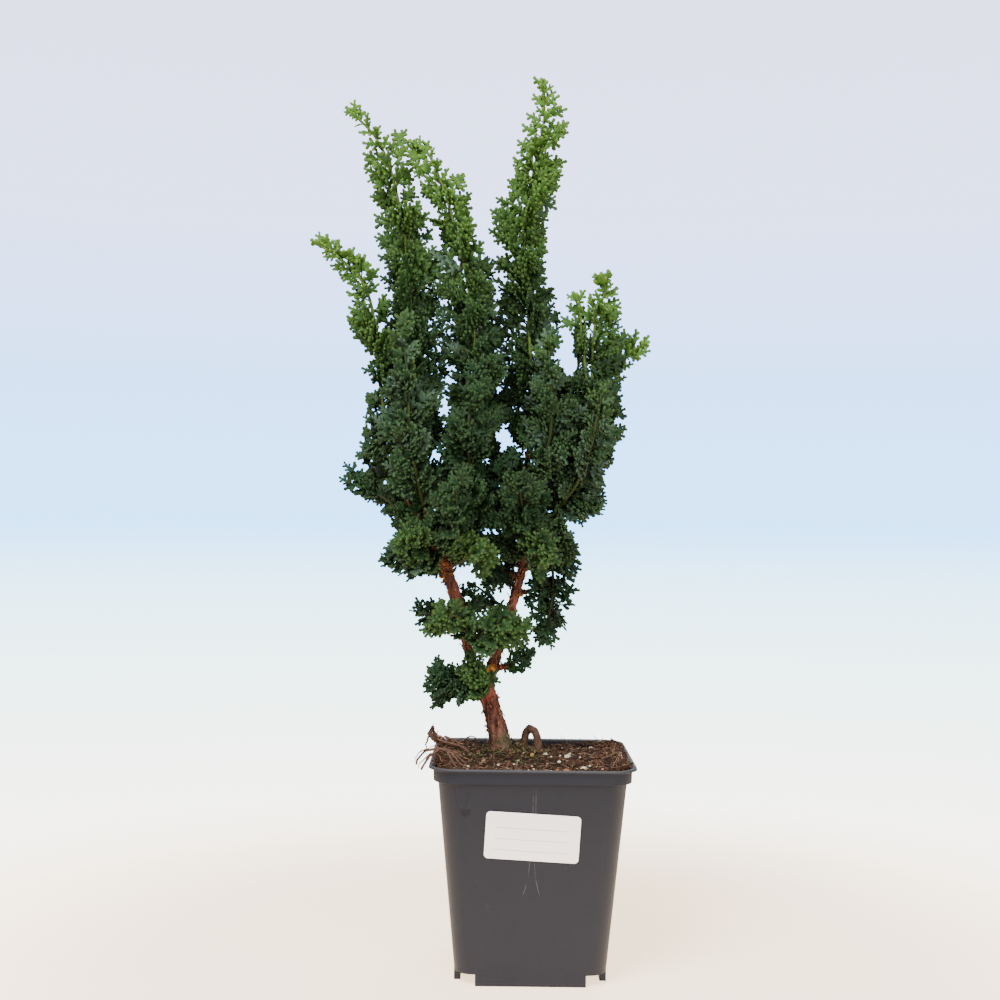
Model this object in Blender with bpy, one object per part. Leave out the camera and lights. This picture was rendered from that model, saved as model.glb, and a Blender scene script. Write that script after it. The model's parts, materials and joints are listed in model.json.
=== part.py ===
"""Potted hinoki cypress: a trunk that forks into two limbs, upright leafy shoots and a square nursery pot.

Units are metres and +Z is up. The origin is on the ground at the centre of the pot's sole, +X runs to
the right of the view that shows the label and +Y away from it. Points and sizes in the tables are
millimetres, and MM turns them into metres.
"""

import math
import random
from collections import namedtuple

import bmesh
import bpy
from mathutils import Matrix, Vector
from mathutils.bvhtree import BVHTree

MM = 0.001
GAP = 0.3 * MM
SEED = 7

# Pot, a thin moulded square with round corners
POT_HEIGHT = 95 * MM
WALL = 1.2 * MM
LIP_HALF = 45 * MM
LIP_DEPTH = 1.2 * MM
BAND_HALF = 43 * MM
BAND_DEPTH = 6.4 * MM
BODY_TOP_HALF = 40 * MM
BODY_FOOT_HALF = 33 * MM
CORNER_RADIUS = 9 * MM
CORNER_GROWTH = 0.125
CORNER_STEPS = 4
NOTCH_HEIGHT = 5 * MM
SOLE_HALF = 32.6 * MM
SOLE_ARM_HALF = 23.7 * MM
DRAIN_RADIUS = 3.2 * MM
DRAIN_CENTRE = 26.5 * MM
DRAIN_SIDES = 8
BAND_FOOT = POT_HEIGHT - LIP_DEPTH - BAND_DEPTH

# Label, a bare write-on sticker on the front wall
LABEL_WIDTH = 40.5 * MM
LABEL_HEIGHT = 20.5 * MM
LABEL_THICKNESS = 0.4 * MM
LABEL_GAP = 0.15 * MM
LABEL_CORNER = 1.8 * MM
LABEL_CENTRE_Z = 65.4 * MM
LABEL_TURN = math.radians(-3)

# Potting mix
SOIL_LEVEL = 93.2 * MM
SOIL_CELLS = 10
SOIL_RELIEF = 0.5 * MM
MOUND_HEIGHT = 4.2 * MM
MOUND_SPREAD = 15 * MM
RIGHT_HEAP = 2.4 * MM
LEFT_HEAP = 1.4 * MM

# Wood
WOOD_STEP = 11 * MM
LONG_FOOT = 20 * MM
LONG_FOOT_RADIUS = 2.2 * MM
STEM_RADIUS = 1.7 * MM
CURVE_STEP = 3 * MM
ROOT_TAPER = 0.7

# Sprays: a leafy stem with a slim core, and the lobed fans that stand out from it all round
TIP_RADIUS = 0.8 * MM
CORE_SHARE = 0.3
CORE_SWELL = 10 * MM
CORE_STEP = 16 * MM
CORE_SIDES = 5
TAPER_LENGTH = 55 * MM
FAN_STEP = 7 * MM
FEWEST_FANS = 5
FAN_STRETCH = 1.25
FAN_THICKNESS = 2.2 * MM
FAN_ROOM = 0.4 * MM
SHORTEST_FAN = 4.5 * MM
GOLDEN_ANGLE = math.radians(137.5)
LENGTH_TRIES = (1.0, 0.85, 0.7, 0.56)
TURN_TRIES = (0, 25, -25, 50, -50, 78, -78, 110, -110)

# The outline of a fan on one side, as shares of its length, from its root round to its middle lobe
FAN_SIDE = ((0.34, 0.08), (0.60, 0.38), (0.66, 0.20), (0.89, 0.32), (0.87, 0.12))
FAN_TIP = (1.08, 0.02)
FAN_MIDDLE = 0.6

# Trunk and limbs: points and radii, in millimetres
Limb = namedtuple("Limb", "points radii sides")
LIMBS = {
    "trunk": Limb(
        [(-12.5, 5, 80), (-13.3, 4.5, 92), (-14.2, 4, 99), (-15.7, 2, 106.5), (-19.1, 0, 118), (-22, 0, 127)],
        [7.2, 6.8, 5.6, 4.7, 4.2, 4.4],
        8,
    ),
    "limb_left": Limb(
        [(-21.5, 0, 124), (-25.6, -3, 131.5), (-29.3, -5, 141.5), (-30.7, -6, 150), (-34.5, -7, 164),
         (-37.7, -8, 174), (-41, -8, 182.5), (-44.2, -8, 189)],
        [3.6, 2.8, 2.5, 2.7, 3.3, 3.2, 2.8, 2.5],
        7,
    ),
    "limb_right": Limb(
        [(-21.5, 0, 124), (-18.6, 3, 132.5), (-15.7, 6, 141.5), (-11.7, 9, 153), (-8.5, 12, 164.5),
         (-5.4, 14, 176), (-3.6, 15, 185.5), (-3.3, 15, 196)],
        [3.8, 3.2, 2.7, 2.6, 2.6, 2.5, 2.4, 2.2],
        7,
    ),
}

# Shoots: what each grows from and how far along it, the way it takes to its tip, the length of its bare
# woody foot and how far its fans reach from its middle. All lengths are millimetres. A shoot with no
# bare foot is a side branch, one piece with the spray that it grows from.
Shoot = namedtuple("Shoot", "parent share path wood reach")
SHOOTS = {
    # Tall leaders
    "leader_left": Shoot("limb_left", 1.0, [(-49, -6, 212), (-53, -5, 236), (-56, -5, 280), (-58, -6, 307),
                         (-61, -7, 331), (-66, -8, 352), (-75, -9, 371), (-83, -10, 380)], 46, 13.5),
    "leader_middle": Shoot("limb_left", 0.93, [(-33, -9, 205), (-29, -8, 237), (-28, -8, 278), (-31, -7, 307),
                           (-36, -6, 331), (-43, -4, 352), (-53, -2, 368)], 42, 13),
    "leader_right": Shoot("limb_right", 1.0, [(-3, 12, 225), (-2, 10, 256), (-3, 10, 290), (-5, 9, 318),
                          (-4, 8, 345), (1, 6, 368), (3, 4, 396)], 38, 14),
    "leader_low_right": Shoot("limb_right", 0.9, [(10, 11, 205), (24, 6, 225), (26, 4, 252), (26, 1, 280),
                              (29, -2, 300), (30, -3, 306)], 36, 13),
    "side_low_right": Shoot("leader_low_right", 0.35, [(20, 1, 282), (17, -1, 296)], 0, 9),
    "shoot_far_right": Shoot("leader_low_right", 0.65, [(28, 16, 222), (33, 15, 245), (38, 14, 266),
                             (49, 13, 280)], 10, 11.5),
    "shoot_far_left": Shoot("limb_left", 1.0, [(-58, -12, 208), (-65, -13, 235), (-71, -13, 268),
                            (-77, -15, 300), (-85, -16, 313), (-96, -18, 320)], 30, 12),
    "back_left": Shoot("limb_left", 1.0, [(-50, 12, 212), (-56, 25, 240), (-58, 28, 275), (-60, 28, 306)], 25, 14),
    "back_middle": Shoot("limb_right", 1.0, [(-14, 26, 215), (-22, 34, 245), (-25, 34, 280), (-26, 33, 322)],
                         25, 14),
    "back_right": Shoot("limb_right", 0.95, [(8, 28, 212), (14, 35, 240), (15, 35, 268), (16, 33, 292)], 22, 14),
    # Front of the crown
    "front_right": Shoot("leader_right", 0.4, [(5, -10, 230), (7, -19, 252), (5, -21, 280)], 16, 14),
    "front_left": Shoot("limb_left", 1.0, [(-50, -22, 210), (-55, -30, 234), (-56, -31, 258), (-59, -30, 284)],
                        20, 14),
    "front_middle": Shoot("leader_middle", 0.4, [(-29, -22, 216), (-30, -32, 238), (-27, -32, 266)], 10, 14),
    "front_far_right": Shoot("leader_low_right", 0.5, [(19, -10, 218), (25, -18, 236), (29, -19, 258)], 10, 13),
    "front_mid_left": Shoot("limb_left", 0.97, [(-39, -20, 195), (-35, -36, 203), (-34, -46, 216)], 8, 14),
    "front_mid_right": Shoot("leader_right", 0.1, [(-6, -6, 206), (-6, -28, 207), (-8, -42, 218)], 14, 14),
    "front_low_left": Shoot("limb_left", 0.9, [(-48, -22, 187), (-57, -36, 194)], 7, 13.5),
    "front_low_middle": Shoot("limb_left", 0.84, [(-31, -22, 183), (-24, -39, 187)], 7, 14),
    "front_low_right": Shoot("limb_right", 0.9, [(-3, -2, 189), (1, -20, 190), (5, -36, 186)], 12, 14),
    "front_inner": Shoot("limb_left", 0.93, [(-28, -16, 195), (-17, -20, 208), (-13, -20, 228)], 12, 12),
    # Sides of the crown
    "side_left_high": Shoot("shoot_far_left", 0.12, [(-76, -10, 244), (-79, -8, 256)], 0, 10),
    "left_middle": Shoot("limb_left", 1.0, [(-56, 0, 200), (-68, -1, 212), (-76, 0, 226), (-78, 2, 240)], 14, 12),
    "left_low": Shoot("limb_left", 0.95, [(-58, -12, 196), (-70, -14, 206), (-77, -13, 212)], 10, 13),
    "left_lowest": Shoot("limb_left", 0.85, [(-50, -10, 180), (-58, -12, 183), (-64, -13, 183)], 6, 12),
    "left_back": Shoot("back_left", 0.5, [(-60, 12, 212), (-71, 20, 222)], 9, 13),
    "left_back_low": Shoot("limb_left", 0.9, [(-50, 8, 186), (-60, 20, 192), (-64, 26, 200)], 10, 14),
    "right_low": Shoot("limb_right", 0.85, [(12, 6, 191), (22, 5, 197), (28, 5, 205)], 12, 13),
    "right_back": Shoot("limb_right", 0.9, [(6, 20, 196), (18, 26, 206), (28, 32, 222)], 14, 14),
    "right_drop": Shoot("limb_right", 0.75, [(5, 13, 182), (13, 11, 181), (18, 9, 170), (12, 8, 150)], 8, 12.5),
    "right_drop_inner": Shoot("limb_right", 0.6, [(2, 20, 168), (8, 25, 160), (6, 24, 148)], 6, 11),
    "back_low_left": Shoot("limb_left", 0.8, [(-38, 8, 180), (-42, 26, 190), (-44, 40, 202)], 12, 14),
    "back_low_middle": Shoot("limb_right", 0.95, [(-10, 30, 194), (-14, 44, 206)], 8, 14),
    "back_low_right": Shoot("limb_right", 0.8, [(4, 28, 183), (15, 40, 192)], 8, 14),
    "back_hanging": Shoot("limb_right", 0.7, [(-14, 26, 178), (-22, 34, 172)], 8, 12),
    # Pads below the crown
    "pad_front_left": Shoot("limb_left", 0.35, [(-29, -17, 152), (-33, -26, 158), (-42, -27, 160)], 10, 11),
    "pad_front_right": Shoot("limb_left", 0.3, [(-23, -18, 150), (-14, -25, 155), (-6, -26, 153)], 12, 12),
    "pad_left": Shoot("limb_left", 0.5, [(-40, 1, 155), (-50, 3, 158)], 5, 10),
    "pad_low_left": Shoot("trunk", 0.93, [(-31, -3, 124), (-39, -7, 127), (-44, -9, 126)], 8, 12),
    "tuft_fork": Shoot("trunk", 0.9, [(-24, -10, 126), (-27, -17, 131)], 7, 9),
    "twig_right": Shoot("limb_right", 0.1, [(-14, 1, 134), (-7, 0, 137), (-2, 0, 143)], 10, 7),
    "tuft_inner": Shoot("limb_right", 0.5, [(-16, 6, 162), (-23, 5, 168)], 5, 9),
}

# Roots that show on the soil: points and radius, in millimetres
ROOT_LOOP = [(-4, 8, 88), (-4, 8, 97), (-3.2, 7.4, 102.5), (-0.6, 6, 105.6), (2.4, 4.4, 103.6), (4, 3.4, 98),
             (4.2, 3.2, 86)]
ROOT_LOOP_RADIUS = 1.2 * MM
SURFACE_ROOTS = {
    "root_upright": [([(-24, -6, 90), (-31, 2, 96.5), (-38, 8, 97.5), (-43, 10, 99), (-45, 9, 103)], 1.0)],
    "roots_over_rim": [
        ([(-26, -20, 90), (-33, -22, 96.5), (-39, -22, 100), (-44, -24, 98), (-48, -25, 93), (-49, -26, 86)], 0.7),
        ([(-37, -22, 99), (-41, -14, 98.5), (-46, -12, 98), (-50.5, -12, 95), (-52, -13, 88)], 0.6),
        ([(-38, -22, 99.6), (-35, -30, 96), (-30, -33, 89)], 0.55),
    ],
}


# Solids

def material(name, colour, roughness):
    made = bpy.data.materials.new(name)
    made.use_nodes = True
    shader = made.node_tree.nodes["Principled BSDF"]
    shader.inputs["Base Color"].default_value = (*colour, 1)
    shader.inputs["Roughness"].default_value = roughness
    shader.inputs["Metallic"].default_value = 0
    return made


def solid(name, points, faces):
    mesh = bpy.data.meshes.new(name)
    mesh.from_pydata(points, [], faces)
    made = bpy.data.objects.new(name, mesh)
    bpy.context.scene.collection.objects.link(made)
    return made


def loft(name, rings):
    """A closed solid through rings that all have the same number of points, from the lowest up."""
    count = len(rings[0])
    points = [point for ring in rings for point in ring]
    faces = [list(range(count))[::-1], [len(points) - count + i for i in range(count)]]
    for low in range(0, len(points) - count, count):
        for i in range(count):
            j = (i + 1) % count
            faces.append([low + i, low + j, low + count + j, low + count + i])
    return solid(name, points, faces)


def box(name, half_x, half_y, low, high):
    corners = ((-half_x, -half_y), (half_x, -half_y), (half_x, half_y), (-half_x, half_y))
    return loft(name, [[(x, y, z) for x, y in corners] for z in (low, high)])


def combine(target, others, operation):
    """Joins others to target, cuts them from it or keeps what they share, by one Boolean, and removes them."""
    helpers = bpy.data.collections.new("helpers")
    for other in others:
        helpers.objects.link(other)
    boolean = target.modifiers.new("combine", "BOOLEAN")
    boolean.operation = operation
    boolean.operand_type = "COLLECTION"
    boolean.collection = helpers
    boolean.solver = "EXACT"
    graph = bpy.context.evaluated_depsgraph_get()
    mesh = bpy.data.meshes.new_from_object(target.evaluated_get(graph))
    target.modifiers.clear()
    target.data = mesh
    for other in others:
        bpy.data.objects.remove(other)
    bpy.data.collections.remove(helpers)
    return target


# Paths and tubes

def in_metres(points):
    return [Vector(point) * MM for point in points]


def length_of(path):
    return sum((b - a).length for a, b in zip(path, path[1:]))


def point_at(path, distance):
    """The point at a distance along the path, and the direction there."""
    for a, b in zip(path, path[1:]):
        span = (b - a).length
        if distance <= span:
            return a.lerp(b, distance / span), (b - a).normalized()
        distance -= span
    return path[-1].copy(), (path[-1] - path[-2]).normalized()


def stretch(path, start, end, spacing):
    """Evenly spaced points along a stretch of the path."""
    count = max(2, round((end - start) / spacing) + 1)
    return [point_at(path, start + (end - start) * i / (count - 1))[0] for i in range(count)]


def smooth_path(points, spacing):
    """Points about spacing apart on a smooth curve through the given ones."""
    ends = [points[0] * 2 - points[1], *points, points[-1] * 2 - points[-2]]
    fine = []
    for a, b, c, d in zip(ends, ends[1:], ends[2:], ends[3:]):
        for step in range(12):
            t = step / 12
            bend = (2 * a - 5 * b + 4 * c - d) * t ** 2 + (3 * b - a - 3 * c + d) * t ** 3
            fine.append(0.5 * (2 * b + (c - a) * t + bend))
    fine.append(points[-1])
    return stretch(fine, 0, length_of(fine), spacing)


def tube(name, path, radii, sides=6, swell=0.0, first=None, last=None):
    """A closed tube of flat-sided rings along path. The radii are spread evenly over its length.

    swell makes it thicker and longer, for a hole that it stands in or room that it needs. first and last
    are the directions that its two ends are square to, where they aren't those of the path.
    """
    ends = len(path) - 1
    path = [point.copy() for point in path]
    path[0] += (path[0] - path[1]).normalized() * swell
    path[-1] += (path[-1] - path[-2]).normalized() * swell
    heading = (path[1] - path[0]).normalized()
    side = heading.orthogonal().normalized()
    rings = []
    for i, place in enumerate(path):
        turned = (path[min(i + 1, ends)] - path[max(i - 1, 0)]).normalized()
        if first and i == 0:
            turned = first
        if last and i == ends:
            turned = last
        side = heading.rotation_difference(turned) @ side
        heading = turned
        share = i / ends * (len(radii) - 1)
        low = min(int(share), len(radii) - 2)
        radius = radii[low] + (radii[low + 1] - radii[low]) * (share - low) + swell
        spokes = [Matrix.Rotation(2 * math.pi * k / sides, 3, heading) @ side for k in range(sides)]
        rings.append([place + spoke * radius for spoke in spokes])
    return loft(name, rings)


# Pot and label

def rounded_rectangle(half_x, half_y, radius, steps, height):
    """A ring with round corners, from its right side round by its far side."""
    ring = []
    for corner, (sx, sy) in enumerate(((1, 1), (-1, 1), (-1, -1), (1, -1))):
        for step in range(steps + 1):
            angle = (corner + step / steps) * math.pi / 2
            x = sx * (half_x - radius) + radius * math.cos(angle)
            y = sy * (half_y - radius) + radius * math.sin(angle)
            ring.append((x, y, height))
    return ring


def pot_ring(half, height, inset=0.0):
    """The pot's outline where it is this wide, moved in by inset. Its corners are rounder higher up."""
    radius = CORNER_RADIUS + (half - BODY_FOOT_HALF) * CORNER_GROWTH
    return rounded_rectangle(half - inset, half - inset, radius - inset, CORNER_STEPS, height)


def cross(name, inset, low, high):
    """The plus-shaped sole that stands between the four notched corners."""
    reach = SOLE_HALF - inset
    arm = SOLE_ARM_HALF - inset
    return combine(box(name, reach, arm, low, high), [box("arm", arm, reach, low, high)], "UNION")


def pot_filling(name, clearance, top):
    """What fills the pot up to top, this far from its walls and floor. With no clearance it is the hollow."""
    inset = WALL + clearance
    floor = NOTCH_HEIGHT + inset
    rings = [
        pot_ring(BODY_FOOT_HALF, floor, inset),
        pot_ring(BODY_TOP_HALF, BAND_FOOT + WALL / 2 + clearance, inset),
        pot_ring(BAND_HALF, BAND_FOOT + 2 * WALL + clearance, inset),
        pot_ring(BAND_HALF, top, inset),
    ]
    return combine(loft(name, rings), [cross("sole", inset, inset, floor + 2 * WALL)], "UNION")


def make_pot(finish):
    rings = [
        pot_ring(BODY_FOOT_HALF, NOTCH_HEIGHT),
        pot_ring(BODY_TOP_HALF, BAND_FOOT),
        pot_ring(BAND_HALF, BAND_FOOT + WALL / 2),
        pot_ring(BAND_HALF, POT_HEIGHT - LIP_DEPTH),
        pot_ring(LIP_HALF, POT_HEIGHT - LIP_DEPTH * 0.8),
        pot_ring(LIP_HALF, POT_HEIGHT),
    ]
    pot = loft("pot", rings)
    pot.data.materials.append(finish)
    combine(pot, [cross("sole", 0, 0, NOTCH_HEIGHT + WALL)], "UNION")
    combine(pot, [pot_filling("hollow", 0, POT_HEIGHT + WALL)], "DIFFERENCE")
    drains = []
    for x in (-DRAIN_CENTRE, DRAIN_CENTRE):
        for y in (-DRAIN_CENTRE, DRAIN_CENTRE):
            ends = [Vector((x, y, NOTCH_HEIGHT - WALL)), Vector((x, y, NOTCH_HEIGHT + 2 * WALL))]
            drains.append(tube("drain", ends, [DRAIN_RADIUS, DRAIN_RADIUS], DRAIN_SIDES))
    combine(pot, drains, "DIFFERENCE")


def make_label(finish):
    """A rounded card lying on the sloping front wall."""
    lean = math.atan2(BODY_TOP_HALF - BODY_FOOT_HALF, BAND_FOOT - NOTCH_HEIGHT)
    wall = BODY_FOOT_HALF + (LABEL_CENTRE_Z - NOTCH_HEIGHT) * math.tan(lean)
    heights = (LABEL_GAP, LABEL_GAP + LABEL_THICKNESS)
    rings = [rounded_rectangle(LABEL_WIDTH / 2, LABEL_HEIGHT / 2, LABEL_CORNER, 2, z) for z in heights]
    label = loft("label", rings)
    label.data.materials.append(finish)
    stand = Matrix.Rotation(math.pi / 2 + lean, 4, "X") @ Matrix.Rotation(LABEL_TURN, 4, "Z")
    label.data.transform(Matrix.Translation((0, -wall, LABEL_CENTRE_Z)) @ stand)


# Potting mix

def soil_height(x, y):
    """Level of the mix: a low mound round the trunk, heaps towards both sides and a crumbly relief."""
    foot = Vector(LIMBS["trunk"].points[1]) * MM
    mound = MOUND_HEIGHT * math.exp(-((x - foot.x) ** 2 + (y - foot.y) ** 2) / MOUND_SPREAD ** 2)
    heap = (RIGHT_HEAP if x > 0 else LEFT_HEAP) * (x / BAND_HALF) ** 2
    waves = math.sin(x / MM * 0.73 + 1.3) * math.cos(y / MM * 0.61) + math.sin((x + y) / MM * 0.41 + 2)
    return SOIL_LEVEL + mound + heap + SOIL_RELIEF * waves


def soil_block():
    """A block as wide as the pot, with the top of the mix."""
    work = bmesh.new()
    bmesh.ops.create_grid(work, x_segments=SOIL_CELLS, y_segments=SOIL_CELLS, size=BAND_HALF)
    bmesh.ops.triangulate(work, faces=work.faces)
    raised = bmesh.ops.extrude_face_region(work, geom=work.faces[:])["geom"]
    for vertex in raised:
        if isinstance(vertex, bmesh.types.BMVert):
            vertex.co.z = soil_height(vertex.co.x, vertex.co.y)
    bmesh.ops.recalc_face_normals(work, faces=work.faces)
    block = solid("block", [], [])
    work.to_mesh(block.data)
    work.free()
    return block


def make_soil(finish, holes):
    """The mix, up to its bumpy top, with holes for what stands in it."""
    soil = pot_filling("soil", GAP, POT_HEIGHT + MOUND_HEIGHT + RIGHT_HEAP)
    soil.data.materials.append(finish)
    combine(soil, [soil_block()], "INTERSECT")
    combine(soil, holes, "DIFFERENCE")


# Tree

def centre_line(name):
    """The middle of a limb, or of the whole shoot of that name, from where it leaves its parent."""
    if name in LIMBS:
        return smooth_path(in_metres(LIMBS[name].points), CURVE_STEP)
    shoot = SHOOTS[name]
    if not shoot.wood:
        parent = leafy_line(shoot.parent)
        carries = length_of(parent)
    else:
        parent = centre_line(shoot.parent)
        carries = SHOOTS[shoot.parent].wood * MM if shoot.parent in SHOOTS else length_of(parent)
    start, _ = point_at(parent, carries * shoot.share)
    return smooth_path([start, *in_metres(shoot.path)], CURVE_STEP)


def leafy_line(name):
    """The middle of the green part of a shoot."""
    line = centre_line(name)
    bare = SHOOTS[name].wood * MM + GAP if SHOOTS[name].wood else 0
    return stretch(line, bare, length_of(line), CORE_STEP)


def node_of(name):
    """The shoot whose spray this one is part of."""
    return name if SHOOTS[name].wood else SHOOTS[name].parent


def limb_tube(name, swell=0.0):
    line = centre_line(name)
    path = stretch(line, 0, length_of(line), WOOD_STEP)
    return tube(name, path, [radius * MM for radius in LIMBS[name].radii], LIMBS[name].sides, swell)


def foot_tube(name, swell=0.0):
    """The bare woody foot of a shoot, cut square where its green part starts."""
    line = centre_line(name)
    bare = SHOOTS[name].wood * MM
    radii = [LONG_FOOT_RADIUS if bare >= LONG_FOOT else STEM_RADIUS, STEM_RADIUS]
    _, end = point_at(line, bare)
    return tube(name, stretch(line, 0, bare, 2 * WOOD_STEP), radii, CORE_SIDES, swell, last=end)


def core_tube(name, radii, swell=0.0):
    """The leafy stem of a shoot, cut square where its bare foot ends."""
    _, start = point_at(centre_line(name), SHOOTS[name].wood * MM)
    return tube(name, leafy_line(name), radii, CORE_SIDES, swell, first=start if SHOOTS[name].wood else None)


def wood_tubes(swell=0.0):
    tubes = {name: limb_tube(name, swell) for name in LIMBS}
    tubes.update({name: foot_tube(name, swell) for name, shoot in SHOOTS.items() if shoot.wood})
    return tubes


def make_tree(finish):
    trunk, *others = wood_tubes().values()
    combine(trunk, others, "UNION")
    trunk.name = "tree"
    trunk.data.materials.append(finish)


# Room in the crown

Grown = namedtuple("Grown", "owner kind surface middle radius")


def grown(owner, kind, points, faces):
    middle = sum(points, Vector()) / len(points)
    radius = max((point - middle).length for point in points)
    return Grown(owner, kind, BVHTree.FromPolygons(points, faces), middle, radius)


def grown_tube(owner, kind, made):
    """The same of a tube, which is then removed."""
    points = [vertex.co.copy() for vertex in made.data.vertices]
    part = grown(owner, kind, points, [list(face.vertices) for face in made.data.polygons])
    bpy.data.objects.remove(made)
    return part


def meets(part, others):
    for other in others:
        near = (other.middle - part.middle).length < other.radius + part.radius
        if near and part.surface.overlap(other.surface):
            return True
    return False


# Sprays

def fan_shape(length, spread, arch, swell=0.0):
    """Points and faces of a lobed fan along +X, thick in the middle and thin at its rim.

    spread widens it, arch bends it down and swell makes it larger all round, for the room that it needs.
    """
    middle = Vector((FAN_MIDDLE * length, 0, 0))
    rim = [Vector()]
    rim += [Vector((x, y * spread, 0)) * length for x, y in FAN_SIDE]
    rim.append(Vector((*FAN_TIP, 0)) * length)
    rim += [Vector((x - 0.04, -0.92 * y * spread, 0)) * length for x, y in reversed(FAN_SIDE)]
    rim = [point + (point - middle).normalized() * swell for point in rim]
    rise = Vector((0, 0, FAN_THICKNESS / 2 + swell))
    points = [*rim, middle + rise, middle - rise]
    for point in points:
        point.z -= arch * max(0.0, point.x) ** 2 / length
    top = len(rim)
    faces = []
    for i in range(top):
        j = (i + 1) % top
        faces += [(top, j, i), (top + 1, i, j)]
    return points, faces


def fan_stand(place, direction, roll):
    """Stands a fan at place, pointing along direction, with its upper face turned up and then rolled."""
    up = Vector((0, 0, 1)) - direction * direction.z
    if up.length < 0.2:
        up = Vector((0, 1, 0)) - direction * direction.y
    up = Matrix.Rotation(roll, 3, direction) @ up.normalized()
    turn = Matrix((direction, up.cross(direction), up)).transposed()
    return Matrix.Translation(place) @ turn.to_4x4()


def core_radii(name, lines, wood):
    """Radii of a spray's core: slim, and at most half the way to the next spray."""
    line = lines[name]
    whole = length_of(line)
    others = [point for other in lines if node_of(other) != node_of(name)
              for point in stretch(lines[other], 0, length_of(lines[other]), CURVE_STEP)]
    surfaces = [part.surface for part in wood if part.owner != name]
    full = SHOOTS[name].reach * MM * CORE_SHARE
    radii = []
    for i, place in enumerate(line):
        along = whole * i / (len(line) - 1)
        swell = min(1.0, along / CORE_SWELL) if SHOOTS[name].wood else 1.0
        taper = min(1.0, max(0.0, whole - along) / min(TAPER_LENGTH, whole / 2)) ** 0.7
        wanted = (STEM_RADIUS + (full - STEM_RADIUS) * swell) * taper
        room = min((place - point).length for point in others) / 2 - GAP
        room = min([room] + [surface.find_nearest(place)[3] - 2 * GAP for surface in surfaces])
        radii.append(max(min(wanted, room), TIP_RADIUS) if i else STEM_RADIUS)
    return radii


def grow_fan(crown, name, line, along, turn, dice):
    """The first fan that has room there, tried long before short, or None."""
    node = node_of(name)
    strangers = [part for part in crown if part.kind == "wood" or part.owner != node]
    sisters = [part for part in crown if part.owner == node and part.kind == "lobes"]
    place, axis = point_at(line, along)
    ripe = min(1.0, (length_of(line) - along) / min(TAPER_LENGTH, length_of(line) / 2))
    full = SHOOTS[name].reach * MM * FAN_STRETCH * (0.5 + 0.5 * ripe) * dice.uniform(0.85, 1.1)
    opening = math.radians(22 + 36 * ripe + dice.uniform(-8, 8))
    roll = math.radians(dice.choice((-1, 1)) * dice.uniform(15, 75))
    arch = dice.uniform(0.02, 0.16)
    spread = dice.uniform(1.25, 1.55)
    side = axis.orthogonal().normalized()
    for length in [full * share for share in LENGTH_TRIES if full * share >= SHORTEST_FAN]:
        for extra in TURN_TRIES:
            out = Matrix.Rotation(turn + math.radians(extra), 3, axis) @ side
            direction = (axis * math.cos(opening) + out * math.sin(opening)).normalized()
            stand = fan_stand(place, direction, roll)
            points, faces = fan_shape(length, spread, arch, FAN_ROOM)
            points = [stand @ point for point in points]
            fan = grown(node, "fan", points, faces)
            lobes = grown(node, "lobes", points, [face for face in faces if 0 not in face])
            if meets(fan, strangers) or meets(lobes, sisters):
                continue
            crown += [fan, lobes]
            points, faces = fan_shape(length, spread, arch)
            return solid("fan", [stand @ point for point in points], faces)
    return None


def make_sprays(finish):
    """Grows the fans of all shoots from the tips down, one each a round, so that neighbours share the room."""
    wood = [grown_tube(name, "wood", made) for name, made in wood_tubes(GAP).items()]
    lines = {name: leafy_line(name) for name in SHOOTS}
    radii = {name: core_radii(name, lines, wood) for name in SHOOTS}
    cores = [grown_tube(node_of(name), "core", core_tube(name, radii[name], GAP)) for name in SHOOTS]
    crown = wood + cores
    sprays = {name: [] for name in SHOOTS if node_of(name) == name}
    dice = random.Random(SEED)
    steps = {name: min(FAN_STEP, length_of(line) / FEWEST_FANS) for name, line in lines.items()}
    rounds = max(math.ceil(length_of(lines[name]) / steps[name]) for name in SHOOTS)
    for turn in range(rounds):
        for name, line in lines.items():
            along = length_of(line) - TIP_RADIUS - turn * steps[name]
            if along > steps[name] / 3:
                fan = grow_fan(crown, name, line, along, turn * GOLDEN_ANGLE, dice)
                sprays[node_of(name)] += [fan] if fan else []
    for node, fans in sprays.items():
        first, *branches = [core_tube(name, radii[name]) for name in SHOOTS if node_of(name) == node]
        combine(first, branches + fans, "UNION")
        first.name = "spray_" + node
        first.data.materials.append(finish)


# Roots

def surface_root_tubes(name, swell=0.0):
    tubes = []
    for points, radius in SURFACE_ROOTS[name]:
        path = smooth_path(in_metres(points), 2 * CURVE_STEP)
        tubes.append(tube(name, path, [radius * MM, ROOT_TAPER * radius * MM], 5, swell))
    return tubes


def loop_tube(swell=0.0):
    path = smooth_path(in_metres(ROOT_LOOP), 1.2 * CURVE_STEP)
    return tube("root_loop", path, [ROOT_LOOP_RADIUS, ROOT_LOOP_RADIUS], 6, swell)


def make_roots(finish):
    loop_tube().data.materials.append(finish)
    for name in SURFACE_ROOTS:
        first, *others = surface_root_tubes(name)
        if others:
            combine(first, others, "UNION")
        first.data.materials.append(finish)


def main():
    for old in list(bpy.data.objects):
        bpy.data.objects.remove(old)
    make_pot(material("pot_plastic", (0.075, 0.078, 0.085), 0.42))
    make_label(material("label_paper", (0.85, 0.82, 0.83), 0.5))
    make_tree(material("bark", (0.30, 0.12, 0.06), 0.85))
    make_roots(material("root_bark", (0.22, 0.12, 0.07), 0.8))
    make_sprays(material("foliage", (0.06, 0.17, 0.045), 0.55))
    holes = [limb_tube("trunk", GAP), loop_tube(GAP)]
    for name in SURFACE_ROOTS:
        holes += surface_root_tubes(name, GAP)
    make_soil(material("potting_mix", (0.09, 0.045, 0.025), 0.95), holes)


if __name__ == "__main__":
    main()
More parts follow.
